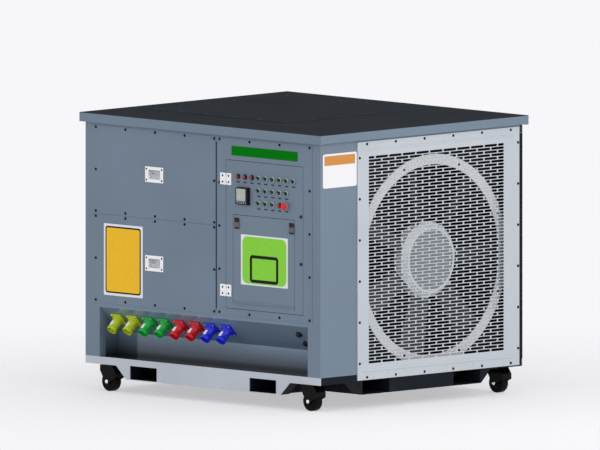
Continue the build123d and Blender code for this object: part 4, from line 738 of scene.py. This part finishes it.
def curved_tag(bm, matrix, index):
    """A blank label wrapped round part of a barrel."""
    before = set(bm.faces)
    begin = math.radians(TAG_BEGIN)
    ends = [bm.verts.new((TAG_RADIUS * math.cos(begin), TAG_RADIUS * math.sin(begin), h))
            for h in (TAG_FROM, TAG_TO)]
    edge = bm.edges.new(ends)
    bmesh.ops.spin(bm, geom=ends + [edge], cent=(0, 0, 0), axis=(0, 0, 1), angle=math.radians(TAG_SWEEP),
                   steps=8, use_merge=False, use_duplicate=False)
    faces = set(bm.faces) - before
    for face in faces:
        face.material_index = index
    bmesh.ops.transform(bm, verts=list({v for f in faces for v in f.verts}), matrix=matrix)


def socket_shells():
    """Four pairs of sockets: square flange with four screws, barrel, sleeve and a blank label."""
    for pair, (name, finish) in enumerate((("yellow", yellow), ("green", green), ("red", red), ("blue", blue))):
        bm = bmesh.new()
        for each in range(2):
            place = on_slope(SOCKET_X + SOCKET_PITCH * (2 * pair + each), SOCKET_DOWN)
            soft_box(bm, place, (76 * MM, 78 * MM, 12 * MM), 4 * MM, 3)
            lathe(bm, place, BARREL, 40)
            lathe(bm, place, SLEEVE, 32)
            for sx in (-30 * MM, 30 * MM):
                for sy in (-31 * MM, 31 * MM):
                    lathe(bm, place @ Matrix.Translation((sx, sy, 12 * MM)), FLANGE_SCREW, 12, 1)
            curved_tag(bm, place, 2)
        made = smooth(piece(f"socket_shells_{name}", bm, "cabinet", finish, zinc, label_white))
        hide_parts(f"sockets_{name}")


def aux_caps():
    """Two small round sockets with closed caps."""
    places = [on_slope(AUX_X, down) for down in AUX_DOWN]
    made = turned("aux_caps", "cabinet", places, AUX_CAP, 32, black_plastic)
    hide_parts("aux_sockets")


socket_shells()
aux_caps()

# ------------------------------------------------------------------ castors
# Half of the wheel: bore, hub, web and crowned tyre as (radius, distance from the middle)
TYRE = [(0.0062, 0.0295), (0.0200, 0.0295), (0.0200, 0.0225), (0.0350, 0.0190), (0.0385, 0.0220),
        (0.0505, 0.0220), (0.0530, 0.0205), (0.0540, 0.0170)]
AXLE_NUT = [(0.0, 0.0035), (0.006, 0.0035), (0.009, 0.002), (0.011, -0.001), (0.0, -0.001)]


def along_y(centre, degrees):
    """Local z along the axle."""
    return Matrix.Translation(centre) @ Matrix.Rotation(math.radians(degrees), 4, "X")


def wheels():
    """The turned wheel of each castor."""
    profile = TYRE + [(radius, -height) for radius, height in reversed(TYRE)]
    for name in nodes:
        if name.startswith("castor_wheel"):
            low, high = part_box(name)
            place = along_y((low + high) / 2, 90)
            made = turned(name.replace("castor_wheel", "wheel_turning"), name.replace("castor_", ""), [place],
                          profile + profile[:1], 56, rubber)
            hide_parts(name)


def axle_nuts():
    """A nut on each outer cheek of the forks."""
    for name in nodes:
        if name.startswith("castor_fork"):
            low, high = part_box(name)
            wheel_low, wheel_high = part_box(name.replace("fork", "wheel"))
            axle = (wheel_low + wheel_high) / 2
            places = [along_y((axle.x, y, axle.z), turn) for y, turn in ((low.y, 90), (high.y, -90))]
            made = turned(name.replace("castor_fork", "axle_nuts"), name.replace("castor_", ""), places,
                          AXLE_NUT, 24, nut_steel)


wheels()
axle_nuts()

# ------------------------------------------------------------------ floor, light, camera
scene = bpy.context.scene
scene.view_settings.view_transform = "Standard"
FADE_FROM, FADE_TO, FLOOR_COVER = 1.2, 4.0, 0.48
SKY_ON_OBJECT, SKY_SEEN = (0.80, 0.81, 0.84, 1), (0.930, 0.922, 0.947, 1)
CAMERA_WIDTH, CAMERA_AWAY = 3.252, 12.0
CAMERA_LIFT = math.asin(0.0998)               # above the horizon
AIM_RIGHT, AIM_UP = -0.02168, 0.90244         # middle of the view, across and up


def pale_floor():
    """A pale floor that keeps a light shadow and fades into the background with distance."""
    finish, tree, shader, place = start("studio_floor")
    away = add(tree, "ShaderNodeVectorMath", {0: place}, operation="LENGTH").outputs["Value"]
    cover = add(tree, "ShaderNodeMapRange", {0: away, 1: FADE_FROM, 2: FADE_TO, 3: FLOOR_COVER, 4: 0.0})
    tree.links.new(cover.outputs[0], shader.inputs["Alpha"])
    shader.inputs["Base Color"].default_value = (0.90, 0.90, 0.91, 1)
    shader.inputs["Roughness"].default_value = 0.9
    shader.inputs["Specular IOR Level"].default_value = 0.1
    bm = bmesh.new()
    bmesh.ops.create_grid(bm, x_segments=1, y_segments=1, size=60)
    mesh = bpy.data.meshes.new("floor")
    bm.to_mesh(mesh)
    bm.free()
    mesh.materials.append(finish)
    floor = bpy.data.objects.new("floor", mesh)
    scene.collection.objects.link(floor)


def pale_sky():
    """A near-white background for the camera, metal and glass, and a softer sky to light the object."""
    world = bpy.data.worlds.new("studio")
    scene.world = world
    world.use_nodes = True
    tree = world.node_tree
    sky = tree.nodes["Background"]
    path = add(tree, "ShaderNodeLightPath")
    seen = path.outputs["Is Camera Ray"]
    for kind in ("Is Glossy Ray", "Is Transmission Ray"):
        seen = add(tree, "ShaderNodeMath", {0: seen, 1: path.outputs[kind]}, operation="MAXIMUM").outputs[0]
    tree.links.new(blend(tree, seen, SKY_ON_OBJECT, SKY_SEEN), sky.inputs["Color"])
    sky.inputs["Strength"].default_value = 1.0


def soft_light(name, place, aim, size, power, colour=(1, 1, 1)):
    """A large soft lamp turned to a point."""
    data = bpy.data.lights.new(name, "AREA")
    data.shape = "RECTANGLE"
    data.size, data.size_y = size
    data.energy = power
    data.color = colour
    made = bpy.data.objects.new(name, data)
    made.location = place
    made.rotation_euler = (Vector(aim) - Vector(place)).to_track_quat("-Z", "Y").to_euler()
    scene.collection.objects.link(made)


def camera_at_corner():
    """A parallel view onto the corner between the front and the fan side."""
    camera = bpy.data.objects.new("camera", bpy.data.cameras.new("camera"))
    scene.collection.objects.link(camera)
    scene.camera = camera
    camera.data.type = "ORTHO"
    camera.data.ortho_scale = CAMERA_WIDTH
    camera.data.clip_end = 200
    sideways = Vector((DIAGONAL, DIAGONAL, 0))
    level = DIAGONAL * math.cos(CAMERA_LIFT)
    ahead = Vector((-level, level, -math.sin(CAMERA_LIFT)))
    upward = sideways.cross(ahead)
    camera.location = sideways * AIM_RIGHT + upward * AIM_UP - ahead * CAMERA_AWAY
    camera.rotation_euler = ahead.to_track_quat("-Z", "Y").to_euler()


pale_floor()
pale_sky()
soft_light("side_panel", (6.0, -0.5, 3.0), (0.9, 0.0, 0.7), (4.0, 3.0), 125, (1.0, 0.92, 0.85))
soft_light("front_panel", (-2.5, -6.5, 4.0), (0.0, -0.8, 0.7), (4.0, 3.0), 30)
camera_at_corner()
